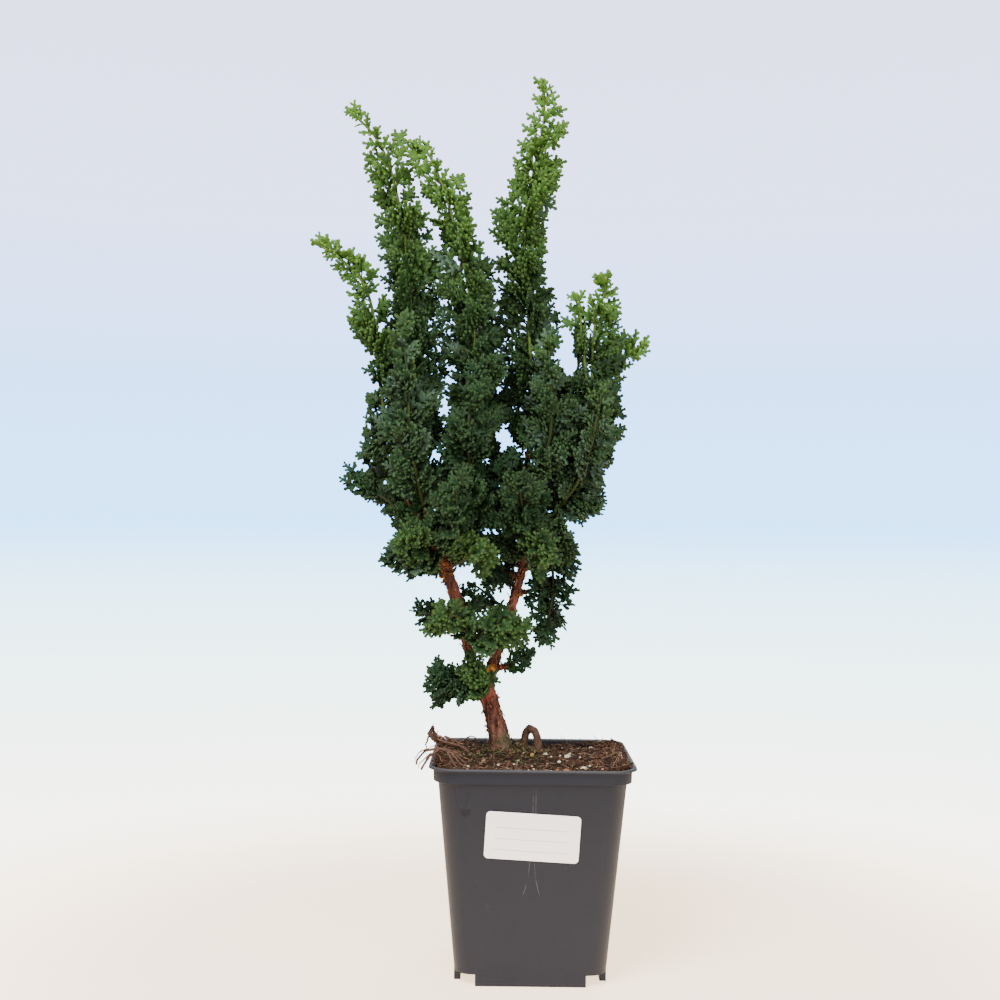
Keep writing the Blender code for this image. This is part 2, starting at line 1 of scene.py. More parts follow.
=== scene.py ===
"""Looks of a potted hinoki cypress: its leafy sprays, bark, roots, potting mix, pot and label.

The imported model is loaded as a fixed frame, and each piece here takes the place of a node of it. Sizes
are in metres and +Z is up. Points in the tables are millimetres, as in the part's source, and MM turns
them into metres.
"""

import json
import math
import random
from collections import namedtuple

import bpy
import numpy as np
from mathutils import Matrix, Vector
from mathutils.bvhtree import BVHTree

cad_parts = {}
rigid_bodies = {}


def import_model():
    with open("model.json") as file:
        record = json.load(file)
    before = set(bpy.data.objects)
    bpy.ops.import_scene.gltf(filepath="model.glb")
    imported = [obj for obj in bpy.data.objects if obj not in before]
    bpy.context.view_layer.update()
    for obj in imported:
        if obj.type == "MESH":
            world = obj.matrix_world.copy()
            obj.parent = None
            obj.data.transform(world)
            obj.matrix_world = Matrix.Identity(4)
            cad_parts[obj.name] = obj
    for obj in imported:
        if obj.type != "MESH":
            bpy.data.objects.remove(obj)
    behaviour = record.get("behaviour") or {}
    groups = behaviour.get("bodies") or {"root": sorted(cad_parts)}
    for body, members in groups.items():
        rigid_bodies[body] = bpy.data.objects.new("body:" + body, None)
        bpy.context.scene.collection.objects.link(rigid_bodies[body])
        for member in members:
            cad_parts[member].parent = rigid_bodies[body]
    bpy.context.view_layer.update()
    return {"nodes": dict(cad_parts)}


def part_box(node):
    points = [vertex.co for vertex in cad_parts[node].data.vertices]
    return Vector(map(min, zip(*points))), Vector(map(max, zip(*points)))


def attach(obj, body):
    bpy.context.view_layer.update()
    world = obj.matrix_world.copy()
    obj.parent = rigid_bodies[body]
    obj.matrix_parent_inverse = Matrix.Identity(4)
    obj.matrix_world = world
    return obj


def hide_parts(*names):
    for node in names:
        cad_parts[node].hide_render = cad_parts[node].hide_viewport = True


bl_info = {
    "name": "Potted hinoki cypress",
    "version": (1, 0, 0),
    "blender": (4, 5, 0),
    "location": "View3D > Sidebar > Cypress",
    "description": "Dresses the packed model of a potted hinoki cypress",
    "category": "Object",
}

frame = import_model()
MM = 0.001
BODY = "root"
CAMERA_PLACE = Vector((-15.6, -640, 198)) * MM

# The middles of the trunk and the limbs, as in the part's source
LIMBS = {
    "trunk": [(-12.5, 5, 80), (-13.3, 4.5, 92), (-14.2, 4, 99), (-15.7, 2, 106.5), (-19.1, 0, 118),
        (-22, 0, 127)],
    "limb_left": [(-21.5, 0, 124), (-25.6, -3, 131.5), (-29.3, -5, 141.5), (-30.7, -6, 150),
        (-34.5, -7, 164), (-37.7, -8, 174), (-41, -8, 182.5), (-44.2, -8, 189)],
    "limb_right": [(-21.5, 0, 124), (-18.6, 3, 132.5), (-15.7, 6, 141.5), (-11.7, 9, 153),
        (-8.5, 12, 164.5), (-5.4, 14, 176), (-3.6, 15, 185.5), (-3.3, 15, 196)],
}

# Shoots: what each grows from and how far along it, the way it takes to its tip, the length of its bare
# woody foot and how far its fans reach from its middle
Shoot = namedtuple("Shoot", "parent share path wood reach")
SHOOTS = {
    "leader_left": Shoot("limb_left", 1.0, [(-49, -6, 212), (-53, -5, 236), (-56, -5, 280), (-58, -6, 307),
        (-60.5, -7, 331), (-64.6, -8, 350), (-68.5, -8, 363), (-75, -9, 374.5), (-85.5, -10, 384.5)], 46,
        13.5),
    "leader_middle": Shoot("limb_left", 0.93, [(-33, -9, 205), (-29, -8, 237), (-28, -8, 278),
        (-31, -7, 305), (-37, -6, 331), (-43, -4, 351), (-50, -3, 367), (-57, -2, 372.5)], 42, 13),
    "leader_right": Shoot("limb_right", 1.0, [(-3, 12, 225), (-2, 10, 256), (-3, 10, 290), (-5.5, 9, 318),
        (-5, 8, 345), (-1.5, 7, 364), (2.4, 6, 383), (2.6, 5, 394), (2.4, 4, 402)], 38, 14),
    "leader_low_right": Shoot("limb_right", 0.9, [(10, 11, 205), (24, 6, 225), (26, 4, 252), (26, 1, 280),
        (28, -1, 297), (31.5, -3, 306), (30, -4, 311.5)], 36, 13),
    "side_low_right": Shoot("leader_low_right", 0.35, [(21, 1, 285), (20, 0, 296), (17.5, -1, 303)], 0, 9),
    "shoot_far_right": Shoot("leader_low_right", 0.65, [(28, 16, 222), (33, 15, 245), (39, 14, 268),
        (42.5, 14, 278), (51, 13, 283.5)], 10, 11.5),
    "shoot_far_left": Shoot("limb_left", 1.0, [(-58, -12, 208), (-65, -13, 235), (-71, -13, 268),
        (-73, -14, 290), (-77.5, -15, 305), (-87, -16, 315.5), (-99, -18, 323)], 30, 14),
    "back_left": Shoot("limb_left", 1.0, [(-50, 12, 212), (-56, 25, 240), (-58, 28, 275), (-60, 28, 306)],
        25, 14),
    "back_middle": Shoot("limb_right", 1.0, [(-14, 26, 215), (-22, 34, 245), (-25, 34, 280),
        (-26, 33, 322)], 25, 14),
    "back_right": Shoot("limb_right", 0.95, [(8, 28, 212), (14, 35, 240), (18, 35, 262), (24, 33, 286)], 22,
        14),
    "front_right": Shoot("leader_right", 0.4, [(5, -10, 230), (7, -19, 252), (5, -21, 280)], 16, 14),
    "front_left": Shoot("limb_left", 1.0, [(-50, -22, 210), (-55, -30, 234), (-56, -31, 258),
        (-59, -30, 284)], 20, 14),
    "front_middle": Shoot("leader_middle", 0.4, [(-29, -22, 216), (-30, -32, 238), (-27, -32, 266)], 10,
        14),
    "front_far_right": Shoot("leader_low_right", 0.5, [(19, -10, 218), (25, -18, 236), (29, -19, 258)], 10,
        13),
    "front_mid_left": Shoot("limb_left", 0.97, [(-39, -20, 195), (-35, -36, 203), (-34, -46, 216)], 8, 14),
    "front_mid_right": Shoot("leader_right", 0.1, [(-6, -6, 206), (-6, -28, 207), (-8, -42, 218)], 14, 14),
    "front_low_left": Shoot("limb_left", 0.9, [(-48, -22, 187), (-57, -36, 194)], 7, 13.5),
    "front_low_middle": Shoot("limb_left", 0.84, [(-31, -22, 183), (-24, -39, 187)], 7, 14),
    "front_low_right": Shoot("limb_right", 0.9, [(-3, -2, 189), (1, -20, 190), (5, -36, 186)], 12, 14),
    "front_inner": Shoot("limb_left", 0.93, [(-28, -16, 195), (-17, -20, 208), (-13, -20, 228)], 12, 12),
    "side_left_high": Shoot("shoot_far_left", 0.12, [(-73, -11, 244), (-75.5, -9, 255)], 0, 10),
    "left_middle": Shoot("limb_left", 1.0, [(-56, 0, 200), (-68, -1, 212), (-76, 0, 226), (-78, 2, 240)],
        14, 12),
    "left_low": Shoot("limb_left", 0.95, [(-55, -12, 198), (-66, -14, 209), (-77, -13, 214)], 10, 13),
    "left_lowest": Shoot("limb_left", 0.85, [(-50, -10, 180), (-58, -12, 183), (-64, -13, 183)], 6, 12),
    "left_back": Shoot("back_left", 0.5, [(-60, 12, 212), (-71, 20, 222)], 9, 13),
    "left_back_low": Shoot("limb_left", 0.9, [(-50, 8, 186), (-60, 20, 192), (-64, 26, 200)], 10, 14),
    "right_low": Shoot("limb_right", 0.85, [(9, 6, 194), (17, 5, 203), (26, 5, 209)], 12, 13),
    "right_back": Shoot("limb_right", 0.9, [(6, 20, 196), (18, 26, 206), (28, 32, 222)], 14, 14),
    "right_drop": Shoot("limb_right", 0.75, [(4, 13, 184), (8, 11, 182), (9.5, 9, 170), (6.5, 8, 150)], 8,
        14.5),
    "right_drop_inner": Shoot("limb_right", 0.6, [(2, 20, 168), (8, 25, 160), (6, 24, 148)], 6, 11),
    "back_low_left": Shoot("limb_left", 0.8, [(-38, 8, 180), (-42, 26, 190), (-44, 40, 202)], 12, 14),
    "back_low_middle": Shoot("limb_right", 0.95, [(-10, 30, 194), (-14, 44, 206)], 8, 14),
    "back_low_right": Shoot("limb_right", 0.8, [(4, 28, 183), (15, 40, 192)], 8, 14),
    "back_hanging": Shoot("limb_right", 0.7, [(-14, 26, 178), (-22, 34, 172)], 8, 12),
    "pad_front_left": Shoot("limb_left", 0.35, [(-29, -17, 152), (-33, -26, 158), (-42, -27, 160)], 10, 11),
    "pad_front_right": Shoot("limb_left", 0.3, [(-23, -18, 150), (-14, -25, 155), (-6, -26, 153)], 12, 12),
    "pad_left": Shoot("limb_left", 0.5, [(-40, 1, 155), (-50, 3, 158)], 5, 10),
    "pad_low_left": Shoot("trunk", 0.93, [(-31, -3, 125), (-39, -7, 129), (-44, -9, 129)], 8, 11.5),
    "tuft_fork": Shoot("trunk", 0.9, [(-24, -10, 127), (-27, -14, 136)], 7, 7),
    "twig_right": Shoot("limb_right", 0.1, [(-14, 1, 134), (-7, 0, 136.5), (-1, 0, 141)], 10, 4.8),
    "tuft_inner": Shoot("limb_right", 0.5, [(-17, 6, 163), (-24, 5, 169), (-28, 4, 171)], 5, 9),
}
CURVE_STEP = 3 * MM

# How far the sprays reach to both sides as seen from the front: height, left and right, for the whole crown
# and for the shoots that stand free
CROWN_EDGES = (
    (331, -102, 37), (325, -98, 37), (319, -96, 37), (314, -92, 37), (308, -83, 37), (303, -82, 37),
    (297, -84, 37), (292, -86, 37.5), (286, -82, 41), (281, -79, 52.5), (276, -78, 45.5), (270, -78, 42.5),
    (265, -77, 37.5), (259, -74, 39.5), (254, -74.5, 39.5), (248, -77.5, 40.5), (243, -77, 40.5),
    (237, -78.5, 35.5), (232, -80.5, 35), (226, -84, 34.5), (221, -87, 30.5), (215, -87.5, 31),
    (210, -74, 33), (204, -66, 32), (199, -62, 18), (193, -64, 17), (188, -67, 22), (182, -72.5, 24),
    (177, -68, 20), (171, -56, 18), (160, -53, 16), (149, -52, 14), (138, -50, 2))
SHOOT_EDGES = {
    "leader_left": ((388, -86, -76), (380, -81.5, -69), (374, -78, -61), (363, -78, -58), (352, -75, -56),
        (341, -72.5, -50), (330, -72, -47), (319, -70, -44), (308, -69, -44), (297, -67, -44),
        (281, -70, -40), (260, -72, -40)),
    "leader_middle": ((376, -60, -52), (369, -59, -45), (363, -57, -42), (358, -55.5, -35),
        (352, -53, -30.5), (341, -48.5, -31), (330, -46.5, -25), (319, -46.5, -22), (308, -48, -19),
        (297, -44.5, -18), (281, -43, -14), (260, -42, -12)),
    "leader_right": ((404, 2, 5), (396, 1.5, 8.5), (390, 1, 12.5), (380, -4, 13.5), (369, -6, 13.5),
        (358, -12.5, 11.5), (347, -17.5, 8), (336, -20.5, 4.5), (325, -19, 3), (314, -18, 5),
        (303, -17.5, 9), (292, -17, 11), (270, -16, 11)),
    "leader_low_right": ((313, 28, 34), (309, 28.5, 37), (303, 27, 37), (297, 20, 39), (291, 17, 41),
        (286, 15, 42), (270, 14, 42)),
    "side_low_right": ((305, 16.5, 22), (297, 15, 21), (286, 12, 24)),
    "shoot_far_right": ((287, 42, 50), (281, 30, 52.5), (276, 28, 45.5), (265, 24, 40)),
    "shoot_far_left": ((332, -101, -94), (325, -98, -86), (319, -96, -80), (308, -84, -70), (292, -86, -66),
        (270, -79, -60)),
}


# Shader maths

class Wire:
    """A socket of a node tree, with the operators that add Math nodes."""

    def __init__(self, nodes, socket):
        self.nodes = nodes
        self.socket = socket

    def __add__(self, other):
        return self.nodes.number("ADD", self, other)

    def __sub__(self, other):
        return self.nodes.number("SUBTRACT", self, other)

    def __rsub__(self, other):
        return self.nodes.number("SUBTRACT", other, self)

    def __mul__(self, other):
        return self.nodes.number("MULTIPLY", self, other)

    __radd__ = __add__


class Nodes:
    """A node tree that is written as Python expressions."""

    def __init__(self, tree):
        self.tree = tree

    def feed(self, socket, value):
        """Links a wire to a socket, or sets its value. A colour is given as red, green and blue."""
        if isinstance(value, Wire):
            self.tree.links.new(value.socket, socket)
        else:
            socket.default_value = (*value, 1) if socket.type == "RGBA" else value

    def node(self, kind, settings=None, stops=(), **values):
        """A node of any type, with its settings made first. Underscores in socket names stand for spaces."""
        made = self.tree.nodes.new(kind)
        for name, value in (settings or {}).items():
            setattr(made, name, value)
        for i, (place, colour) in enumerate(stops):
            ramp = made.color_ramp.elements
            stop = ramp[i] if i < 2 else ramp.new(place)
            stop.position = place
            stop.color = (*colour, 1)
        for name, value in values.items():
            self.feed(made.inputs[name.replace("_", " ")], value)
        return made

    def wire(self, output, kind, settings=None, stops=(), **values):
        return Wire(self, self.node(kind, settings, stops, **values).outputs[output])

    def number(self, operation, *values, clamp=False):
        made = self.node("ShaderNodeMath", {"operation": operation, "use_clamp": clamp})
        for socket, value in zip(made.inputs, values):
            self.feed(socket, value)
        return Wire(self, made.outputs[0])

    def clamped(self, wire):
        return self.number("MULTIPLY", wire, 1, clamp=True)

    def coordinates(self, kind):
        return self.wire(kind, "ShaderNodeTexCoord")

    def split(self, wire):
        """The three parts of a colour or a vector."""
        made = self.node("ShaderNodeSeparateXYZ", Vector=wire)
        return [Wire(self, output) for output in made.outputs]


class Finish(Nodes):
    """A material, whose patterns lie by the place on the piece in metres."""

    def __init__(self, name, roughness=0.6, specular=0.2):
        self.material = bpy.data.materials.new(name)
        self.material.use_nodes = True
        super().__init__(self.material.node_tree)
        self.shader = self.tree.nodes["Principled BSDF"]
        self.shader.inputs["Roughness"].default_value = roughness
        self.shader.inputs["Specular IOR Level"].default_value = specular

    def mix(self, share, low, high, blend="MIX"):
        """A colour between two."""
        made = self.node("ShaderNodeMix", {"data_type": "RGBA", "blend_type": blend})
        self.feed(made.inputs["Factor"], share)
        self.feed(made.inputs[6], low)
        self.feed(made.inputs[7], high)
        return Wire(self, made.outputs[2])

    def place(self):
        return self.coordinates("Object")

    def stretched(self, scale):
        """The place on the piece, stretched by a scale for each axis."""
        return self.wire("Vector", "ShaderNodeMapping", Vector=self.place(), Scale=scale)

    def noise(self, scale, detail, roughness=0.6, vector=None):
        return self.wire("Fac", "ShaderNodeTexNoise", Vector=vector or self.place(), Scale=scale,
                         Detail=detail, Roughness=roughness)

    def cells(self, scale, vector=None):
        return self.wire("Distance", "ShaderNodeTexVoronoi", Vector=vector or self.place(), Scale=scale)

    def band(self, wire, low, high):
        """0 below low, 1 above high and a smooth rise between them."""
        return self.wire("Result", "ShaderNodeMapRange", {"interpolation_type": "SMOOTHSTEP"}, Value=wire,
                         From_Min=low, From_Max=high)

    def near(self, middle, inner, outer):
        """1 within inner of a point of the piece, 0 beyond outer."""
        offset = self.node("ShaderNodeVectorMath", {"operation": "DISTANCE"})
        self.feed(offset.inputs[0], self.place())
        self.feed(offset.inputs[1], tuple(middle))
        return 1 - self.band(Wire(self, offset.outputs["Value"]), inner, outer)

    def attribute(self, name, output="Fac"):
        return self.wire(output, "ShaderNodeAttribute", {"attribute_name": name})

    def speckled(self, grain, low, high, dark):
        """The piece's own tint, darkened where the grain is low."""
        return self.mix(self.band(grain, low, high), dark, self.attribute("tint", "Color"))

    def colour(self, value):
        self.feed(self.shader.inputs["Base Color"], value)

    def roughness(self, value):
        self.feed(self.shader.inputs["Roughness"], value)

    def cover(self, made):
        made.data.materials.append(self.material)
        return made

    def bump(self, height, distance, strength):
        relief = self.wire("Normal", "ShaderNodeBump", Height=height, Strength=strength, Distance=distance)
        self.feed(self.shader.inputs["Normal"], relief)


# Modelling

def deselect_all():
    if bpy.context.mode != "OBJECT":
        bpy.ops.object.mode_set(mode="OBJECT")
    bpy.ops.object.select_all(action="DESELECT")


def select_only(made):
    deselect_all()
    made.select_set(True)
    bpy.context.view_layer.objects.active = made


def resized(made, scale):
    """Gives a new mesh its size for good."""
    made.scale = scale
    bpy.ops.object.transform_apply(location=False, rotation=False, scale=True)


def edit_whole(made):
    """Into edit mode, with all of the mesh selected."""
    select_only(made)
    bpy.ops.object.mode_set(mode="EDIT")
    bpy.ops.mesh.select_all(action="SELECT")


def added(name):
    """The primitive that was added last, under its new name."""
    made = bpy.context.view_layer.objects.active
    made.name = name
    made.data.name = name
    return made


def mesh_object(name, points, triangles):
    """A mesh of triangles from arrays."""
    mesh = bpy.data.meshes.new(name)
    mesh.vertices.add(len(points))
    mesh.vertices.foreach_set("co", np.asarray(points, np.float32).ravel())
    mesh.loops.add(3 * len(triangles))
    mesh.loops.foreach_set("vertex_index", np.asarray(triangles, np.int32).ravel())
    mesh.polygons.add(len(triangles))
    mesh.polygons.foreach_set("loop_start", np.arange(0, 3 * len(triangles), 3, dtype=np.int32))
    mesh.update(calc_edges=True)
    mesh.shade_smooth()
    made = bpy.data.objects.new(name, mesh)
    bpy.context.scene.collection.objects.link(made)
    return made


def arrays_of(made):
    """Points and triangles of an object's mesh."""
    mesh = made.data
    mesh.calc_loop_triangles()
    points = np.empty(3 * len(mesh.vertices), np.float32)
    mesh.vertices.foreach_get("co", points)
    triangles = np.empty(3 * len(mesh.loop_triangles), np.int32)
    mesh.loop_triangles.foreach_get("vertices", triangles)
    return points.reshape(-1, 3), triangles.reshape(-1, 3)


def merged_copy(node, name):
    """A copy of a node's mesh, with its loose triangles joined."""
    made = bpy.data.objects.new(name, frame["nodes"][node].data.copy())
    bpy.context.scene.collection.objects.link(made)
    made.data.name = name
    made.data.materials.clear()
    edit_whole(made)
    bpy.ops.mesh.remove_doubles(threshold=0.01 * MM)
    bpy.ops.object.mode_set(mode="OBJECT")
    return made


def apply_modifier(made, kind, **settings):
    select_only(made)
    modifier = made.modifiers.new(kind.lower(), kind)
    for name, value in settings.items():
        setattr(modifier, name, value)
    bpy.ops.object.modifier_apply(modifier=modifier.name)


def roughen(made, basis, grain, strength, long=1.0, depth=2):
    """Displaces the surface by a noise of that grain, drawn out upwards by long."""
    texture = bpy.data.textures.new("relief", "CLOUDS")
    texture.noise_basis = basis
    texture.noise_scale = grain
    texture.noise_depth = depth
    bpy.ops.object.empty_add()
    guide = bpy.context.view_layer.objects.active
    guide.scale = (1, 1, long)
    bpy.context.view_layer.update()
    apply_modifier(made, "DISPLACE", texture=texture, texture_coords="OBJECT", texture_coords_object=guide,
                   strength=strength, mid_level=0.5)
    bpy.data.objects.remove(guide)
    bpy.data.textures.remove(texture)


def joined(name, parts):
    """One mesh of arrays (points, triangles, colour), with the colours in the attribute tint."""
    points, triangles, colours = [], [], []
    count = 0
    for part_points, part_triangles, colour in parts:
        points.append(part_points)
        triangles.append(np.asarray(part_triangles) + count)
        colours.append(np.tile(np.array([*colour, 1], np.float32), (len(part_points), 1)))
        count += len(part_points)
    made = mesh_object(name, np.concatenate(points), np.concatenate(triangles))
    set_attribute(made, "tint", "FLOAT_COLOR", np.concatenate(colours))
    return made


def select_none(mesh):
    for part in (mesh.vertices, mesh.edges, mesh.polygons):
        part.foreach_set("select", [False] * len(part))


def select_faces(made, wanted):
    """Selects, in edit mode, the faces that wanted(centre, normal) picks."""
    bpy.ops.object.mode_set(mode="OBJECT")
    select_none(made.data)
    for face in made.data.polygons:
        face.select = bool(wanted(face.center, face.normal))
    bpy.ops.object.mode_set(mode="EDIT")


def select_edges(made, wanted):
    """Selects, in edit mode, the edges that wanted(a, b) picks by their ends."""
    bpy.ops.object.mode_set(mode="EDIT")
    bpy.ops.mesh.select_mode(type="EDGE")
    bpy.ops.object.mode_set(mode="OBJECT")
    mesh = made.data
    select_none(mesh)
    for edge in mesh.edges:
        edge.select = bool(wanted(*(mesh.vertices[i].co for i in edge.vertices)))
    bpy.ops.object.mode_set(mode="EDIT")


def set_attribute(made, name, kind, values):
    """A value, vector or colour for each point of a mesh."""
    key = {"FLOAT": "value", "FLOAT_VECTOR": "vector", "FLOAT_COLOR": "color"}[kind]
    made.data.attributes.new(name, kind, "POINT").data.foreach_set(key, np.ravel(values))


def surface_of(made):
    """The surface of a mesh, for rays and for nearest points."""
    corners = [list(face.vertices) for face in made.data.polygons]
    return BVHTree.FromPolygons([vertex.co for vertex in made.data.vertices], corners)


def jitter(dice, spread):
    """A vector with three drawn parts."""
    return Vector([dice.gauss(0, spread) for _ in range(3)])


def random_turn(dice):
    return Matrix.Rotation(dice.uniform(0, 2 * math.pi), 3, jitter(dice, 1).normalized())


def stand_in(piece, *nodes, slot):
    """The piece rides on the body and stands for these nodes. Its slot is not used."""
    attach(piece, BODY)
    if nodes:
        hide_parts(*nodes)


# Stem lines, as in the part's source

CURVE_PARTS = 12


def points_of(table):
    return [Vector(point) * MM for point in table]


def length_of(path):
    return sum((b - a).length for a, b in zip(path, path[1:]))


def point_at(path, distance):
    """The point at a distance along the path, and the direction there."""
    for a, b in zip(path, path[1:]):
        span = (b - a).length
        if distance <= span:
            return a.lerp(b, distance / span), (b - a).normalized()
        distance -= span
    return path[-1].copy(), (path[-1] - path[-2]).normalized()


def stretch(path, start, end, spacing):
    """Evenly spaced points along a stretch of the path."""
    count = max(2, round((end - start) / spacing) + 1)
    return [point_at(path, start + (end - start) * i / (count - 1))[0] for i in range(count)]


def smooth_path(points, spacing=CURVE_STEP):
    """Points about spacing apart on a smooth curve through the given ones."""
    ends = [points[0] * 2 - points[1], *points, points[-1] * 2 - points[-2]]
    fine = []
    for a, b, c, d in zip(ends, ends[1:], ends[2:], ends[3:]):
        for step in range(CURVE_PARTS):
            t = step / CURVE_PARTS
            bend = (2 * a - 5 * b + 4 * c - d) * t ** 2 + (3 * b - a - 3 * c + d) * t ** 3
            fine.append(0.5 * (2 * b + (c - a) * t + bend))
    fine.append(points[-1])
    return stretch(fine, 0, length_of(fine), spacing)


def centre_line(name):
    if name in LIMBS:
        return smooth_path(points_of(LIMBS[name]))
    shoot = SHOOTS[name]
    if not shoot.wood:
        parent = leafy_line(shoot.parent)
        carries = length_of(parent)
    else:
        parent = centre_line(shoot.parent)
        carries = SHOOTS[shoot.parent].wood * MM if shoot.parent in SHOOTS else length_of(parent)
    start, _ = point_at(parent, carries * shoot.share)
    return smooth_path([start, *points_of(shoot.path)])


def leafy_line(name):
    """The middle of the green part of a shoot."""
    line = centre_line(name)
    return stretch(line, SHOOTS[name].wood * MM, length_of(line), CURVE_STEP)


# Sprigs, modelled once each

SprigPlan = namedtuple("SprigPlan", "lobes step lobe first")
SPRIG_PLANS = {
    "sprig_even": SprigPlan(3, 1.7, 3.0, 1),
    "sprig_long": SprigPlan(4, 1.6, 3.0, -1),
    "sprig_short": SprigPlan(2, 1.7, 2.9, 1),
    "sprig_stub": SprigPlan(2, 1.4, 2.4, -1),
}
RIB_WIDTH = 1.0 * MM
RIB_HEIGHT = 0.8 * MM
LOBE_WIDTH = 1.5 * MM
LOBE_HEIGHT = 1.0 * MM
LOBE_SHOULDER = 0.76

# A lobe's spread to the side, where a sprig's tip starts, and a spike's length against its lobe's
LOBE_SPREAD = 2.8 * MM
TIP_FROM = 0.65
SPIKE_SHARE = 0.33


def select_nearest(made, kind, middle):
    """Selects the face or vertex nearest to middle. Answers with a face's centre and normal."""
    bpy.ops.object.mode_set(mode="OBJECT")
    select_none(made.data)
    if kind == "FACE":
        start = min(made.data.polygons, key=lambda face: (face.center - middle).length)
    else:
        start = min(made.data.vertices, key=lambda vertex: (vertex.co - middle).length)
    start.select = True
    found = (start.center.copy(), start.normal.copy()) if kind == "FACE" else None
    bpy.ops.object.mode_set(mode="EDIT")
    bpy.ops.mesh.select_mode(type=kind)
    return found


def grow_spike(made, middle, reach):
    """A small pointed scale from the face nearest to middle, bent forward."""
    centre, normal = select_nearest(made, "FACE", middle)
    bpy.ops.mesh.poke(offset=reach)
    select_nearest(made, "VERT", centre + normal * reach)
    bpy.ops.transform.translate(value=(0.8 * reach, 0, 0))
    bpy.ops.mesh.select_mode(type="FACE")


def grow_lobe(made, middle, direction, reach, swell):
    """A blunt lobe from the face nearest to middle: drawn out, swollen, turned square and domed."""
    centre, normal = select_nearest(made, "FACE", middle)
    top = centre + direction * reach * LOBE_SHOULDER
    turn = direction.xy.angle_signed(normal.xy)
    bpy.ops.mesh.extrude_region_move(TRANSFORM_OT_translate={"value": direction * reach * LOBE_SHOULDER})
    bpy.ops.transform.resize(value=swell, center_override=top)
    bpy.ops.transform.rotate(value=-turn, orient_axis="Z", center_override=top)
    bpy.ops.mesh.poke(offset=reach * (1 - LOBE_SHOULDER))


def model_sprig(name, plan, dice):
    """A branchlet along +X: a slim rib with blunt lobes on both sides by turns, and one at its end."""
    deselect_all()
    step = plan.step * MM
    rib = plan.lobes * step
    bpy.ops.mesh.primitive_cube_add(size=1, location=(rib / 2, 0, 0), scale=(rib, RIB_WIDTH, RIB_HEIGHT))
    made = added(name)
    bpy.ops.object.transform_apply(location=True, rotation=True, scale=True)
    bpy.ops.object.mode_set(mode="EDIT")
    bpy.ops.mesh.select_mode(type="FACE")
    for i in range(1, plan.lobes):
        bpy.ops.mesh.select_all(action="SELECT")
        bpy.ops.mesh.bisect(plane_co=(i * step, 0, 0), plane_no=(1, 0, 0))
    swell = (LOBE_WIDTH / step, 1, LOBE_HEIGHT / RIB_HEIGHT)
    side = plan.first
    for i in range(plan.lobes):
        reach = plan.lobe * MM * (1.1 - 0.3 * i / plan.lobes) * dice.uniform(0.9, 1.1)
        slant = math.radians(dice.uniform(46, 60))
        direction = Vector((math.cos(slant), side * math.sin(slant), dice.uniform(-0.2, 0.25))).normalized()
        grow_lobe(made, Vector(((i + 0.5) * step, side * RIB_WIDTH / 2, 0)), direction, reach, swell)
        grow_spike(made, Vector(((i + 0.5) * step, -side * RIB_WIDTH / 2, 0)), SPIKE_SHARE * reach)
        side = -side
    direction = Vector((1, side * 0.15, 0.05)).normalized()
    swell = (1, LOBE_WIDTH / RIB_WIDTH, LOBE_HEIGHT / RIB_HEIGHT)
    grow_lobe(made, Vector((rib, 0, 0)), direction, 0.85 * plan.lobe * MM, swell)
    bpy.ops.mesh.select_all(action="SELECT")
    bpy.ops.mesh.normals_make_consistent(inside=False)
    bpy.ops.mesh.quads_convert_to_tris()
    bpy.ops.object.mode_set(mode="OBJECT")
    return made


Sprig = namedtuple("Sprig", "length points triangles tip under")


def sprig_templates():
    """The modelled sprigs as arrays, with how far out on a lobe and how far underneath each point is."""
    dice = random.Random(3)
    sprigs = {}
    for name, plan in SPRIG_PLANS.items():
        made = model_sprig(name, plan, dice)
        points, triangles = arrays_of(made)
        bpy.data.objects.remove(made)
        length = points[:, 0].max()
        tip = (points[:, 0] / length - TIP_FROM) / (1 - TIP_FROM)
        out = np.maximum(np.abs(points[:, 1]) / LOBE_SPREAD, tip)
        under = np.clip(0.5 - points[:, 2] / RIB_HEIGHT, 0, 1)
        sprigs[name] = Sprig(length, points, triangles, np.clip(out, 0, 1), under)
    return sprigs


# Sprays

Leaf = namedtuple("Leaf", "kind matrix young bloom shade")


class Growth:
    """What a spray's piece is gathered from: placed sprigs and the ribs that carry them."""

    def __init__(self, sprigs):
        self.sprigs = sprigs
        self.leaves = []
        self.ribs = []

    def arrays(self):
        points, triangles, tone, bark = [], [], [], []
        count = 0
        for kind, sprig in self.sprigs.items():
            leaves = [leaf for leaf in self.leaves if leaf.kind == kind]
            if not leaves:
                continue
            matrices = np.array([leaf.matrix for leaf in leaves])
            placed = np.einsum("nij,pj->npi", matrices[:, :3, :3], sprig.points) + matrices[:, None, :3, 3]
            size = len(sprig.points)
            offsets = count + size * np.arange(len(leaves))[:, None, None]
            points.append(placed.reshape(-1, 3))
            triangles.append((sprig.triangles[None] + offsets).reshape(-1, 3))
            values = np.empty((len(leaves), size, 4), np.float32)
            values[:, :, 0] = sprig.tip
            values[:, :, 1] = np.array([leaf.young for leaf in leaves])[:, None]
            values[:, :, 2] = sprig.under * np.array([leaf.bloom for leaf in leaves])[:, None]
            values[:, :, 3] = np.array([leaf.shade for leaf in leaves])[:, None]
            tone.append(values.reshape(-1, 4))
            bark.append(np.zeros(len(leaves) * size, np.float32))
            count += len(leaves) * size
        for rib_points, rib_triangles, young, woody in self.ribs:
            points.append(rib_points)
            triangles.append(rib_triangles + count)
            tone.append(np.tile(np.array([0.2, young, 0, 0.5], np.float32), (len(rib_points), 1)))
            bark.append(np.asarray(woody, np.float32))
            count += len(rib_points)
        return [np.concatenate(part) for part in (points, triangles, tone, bark)]


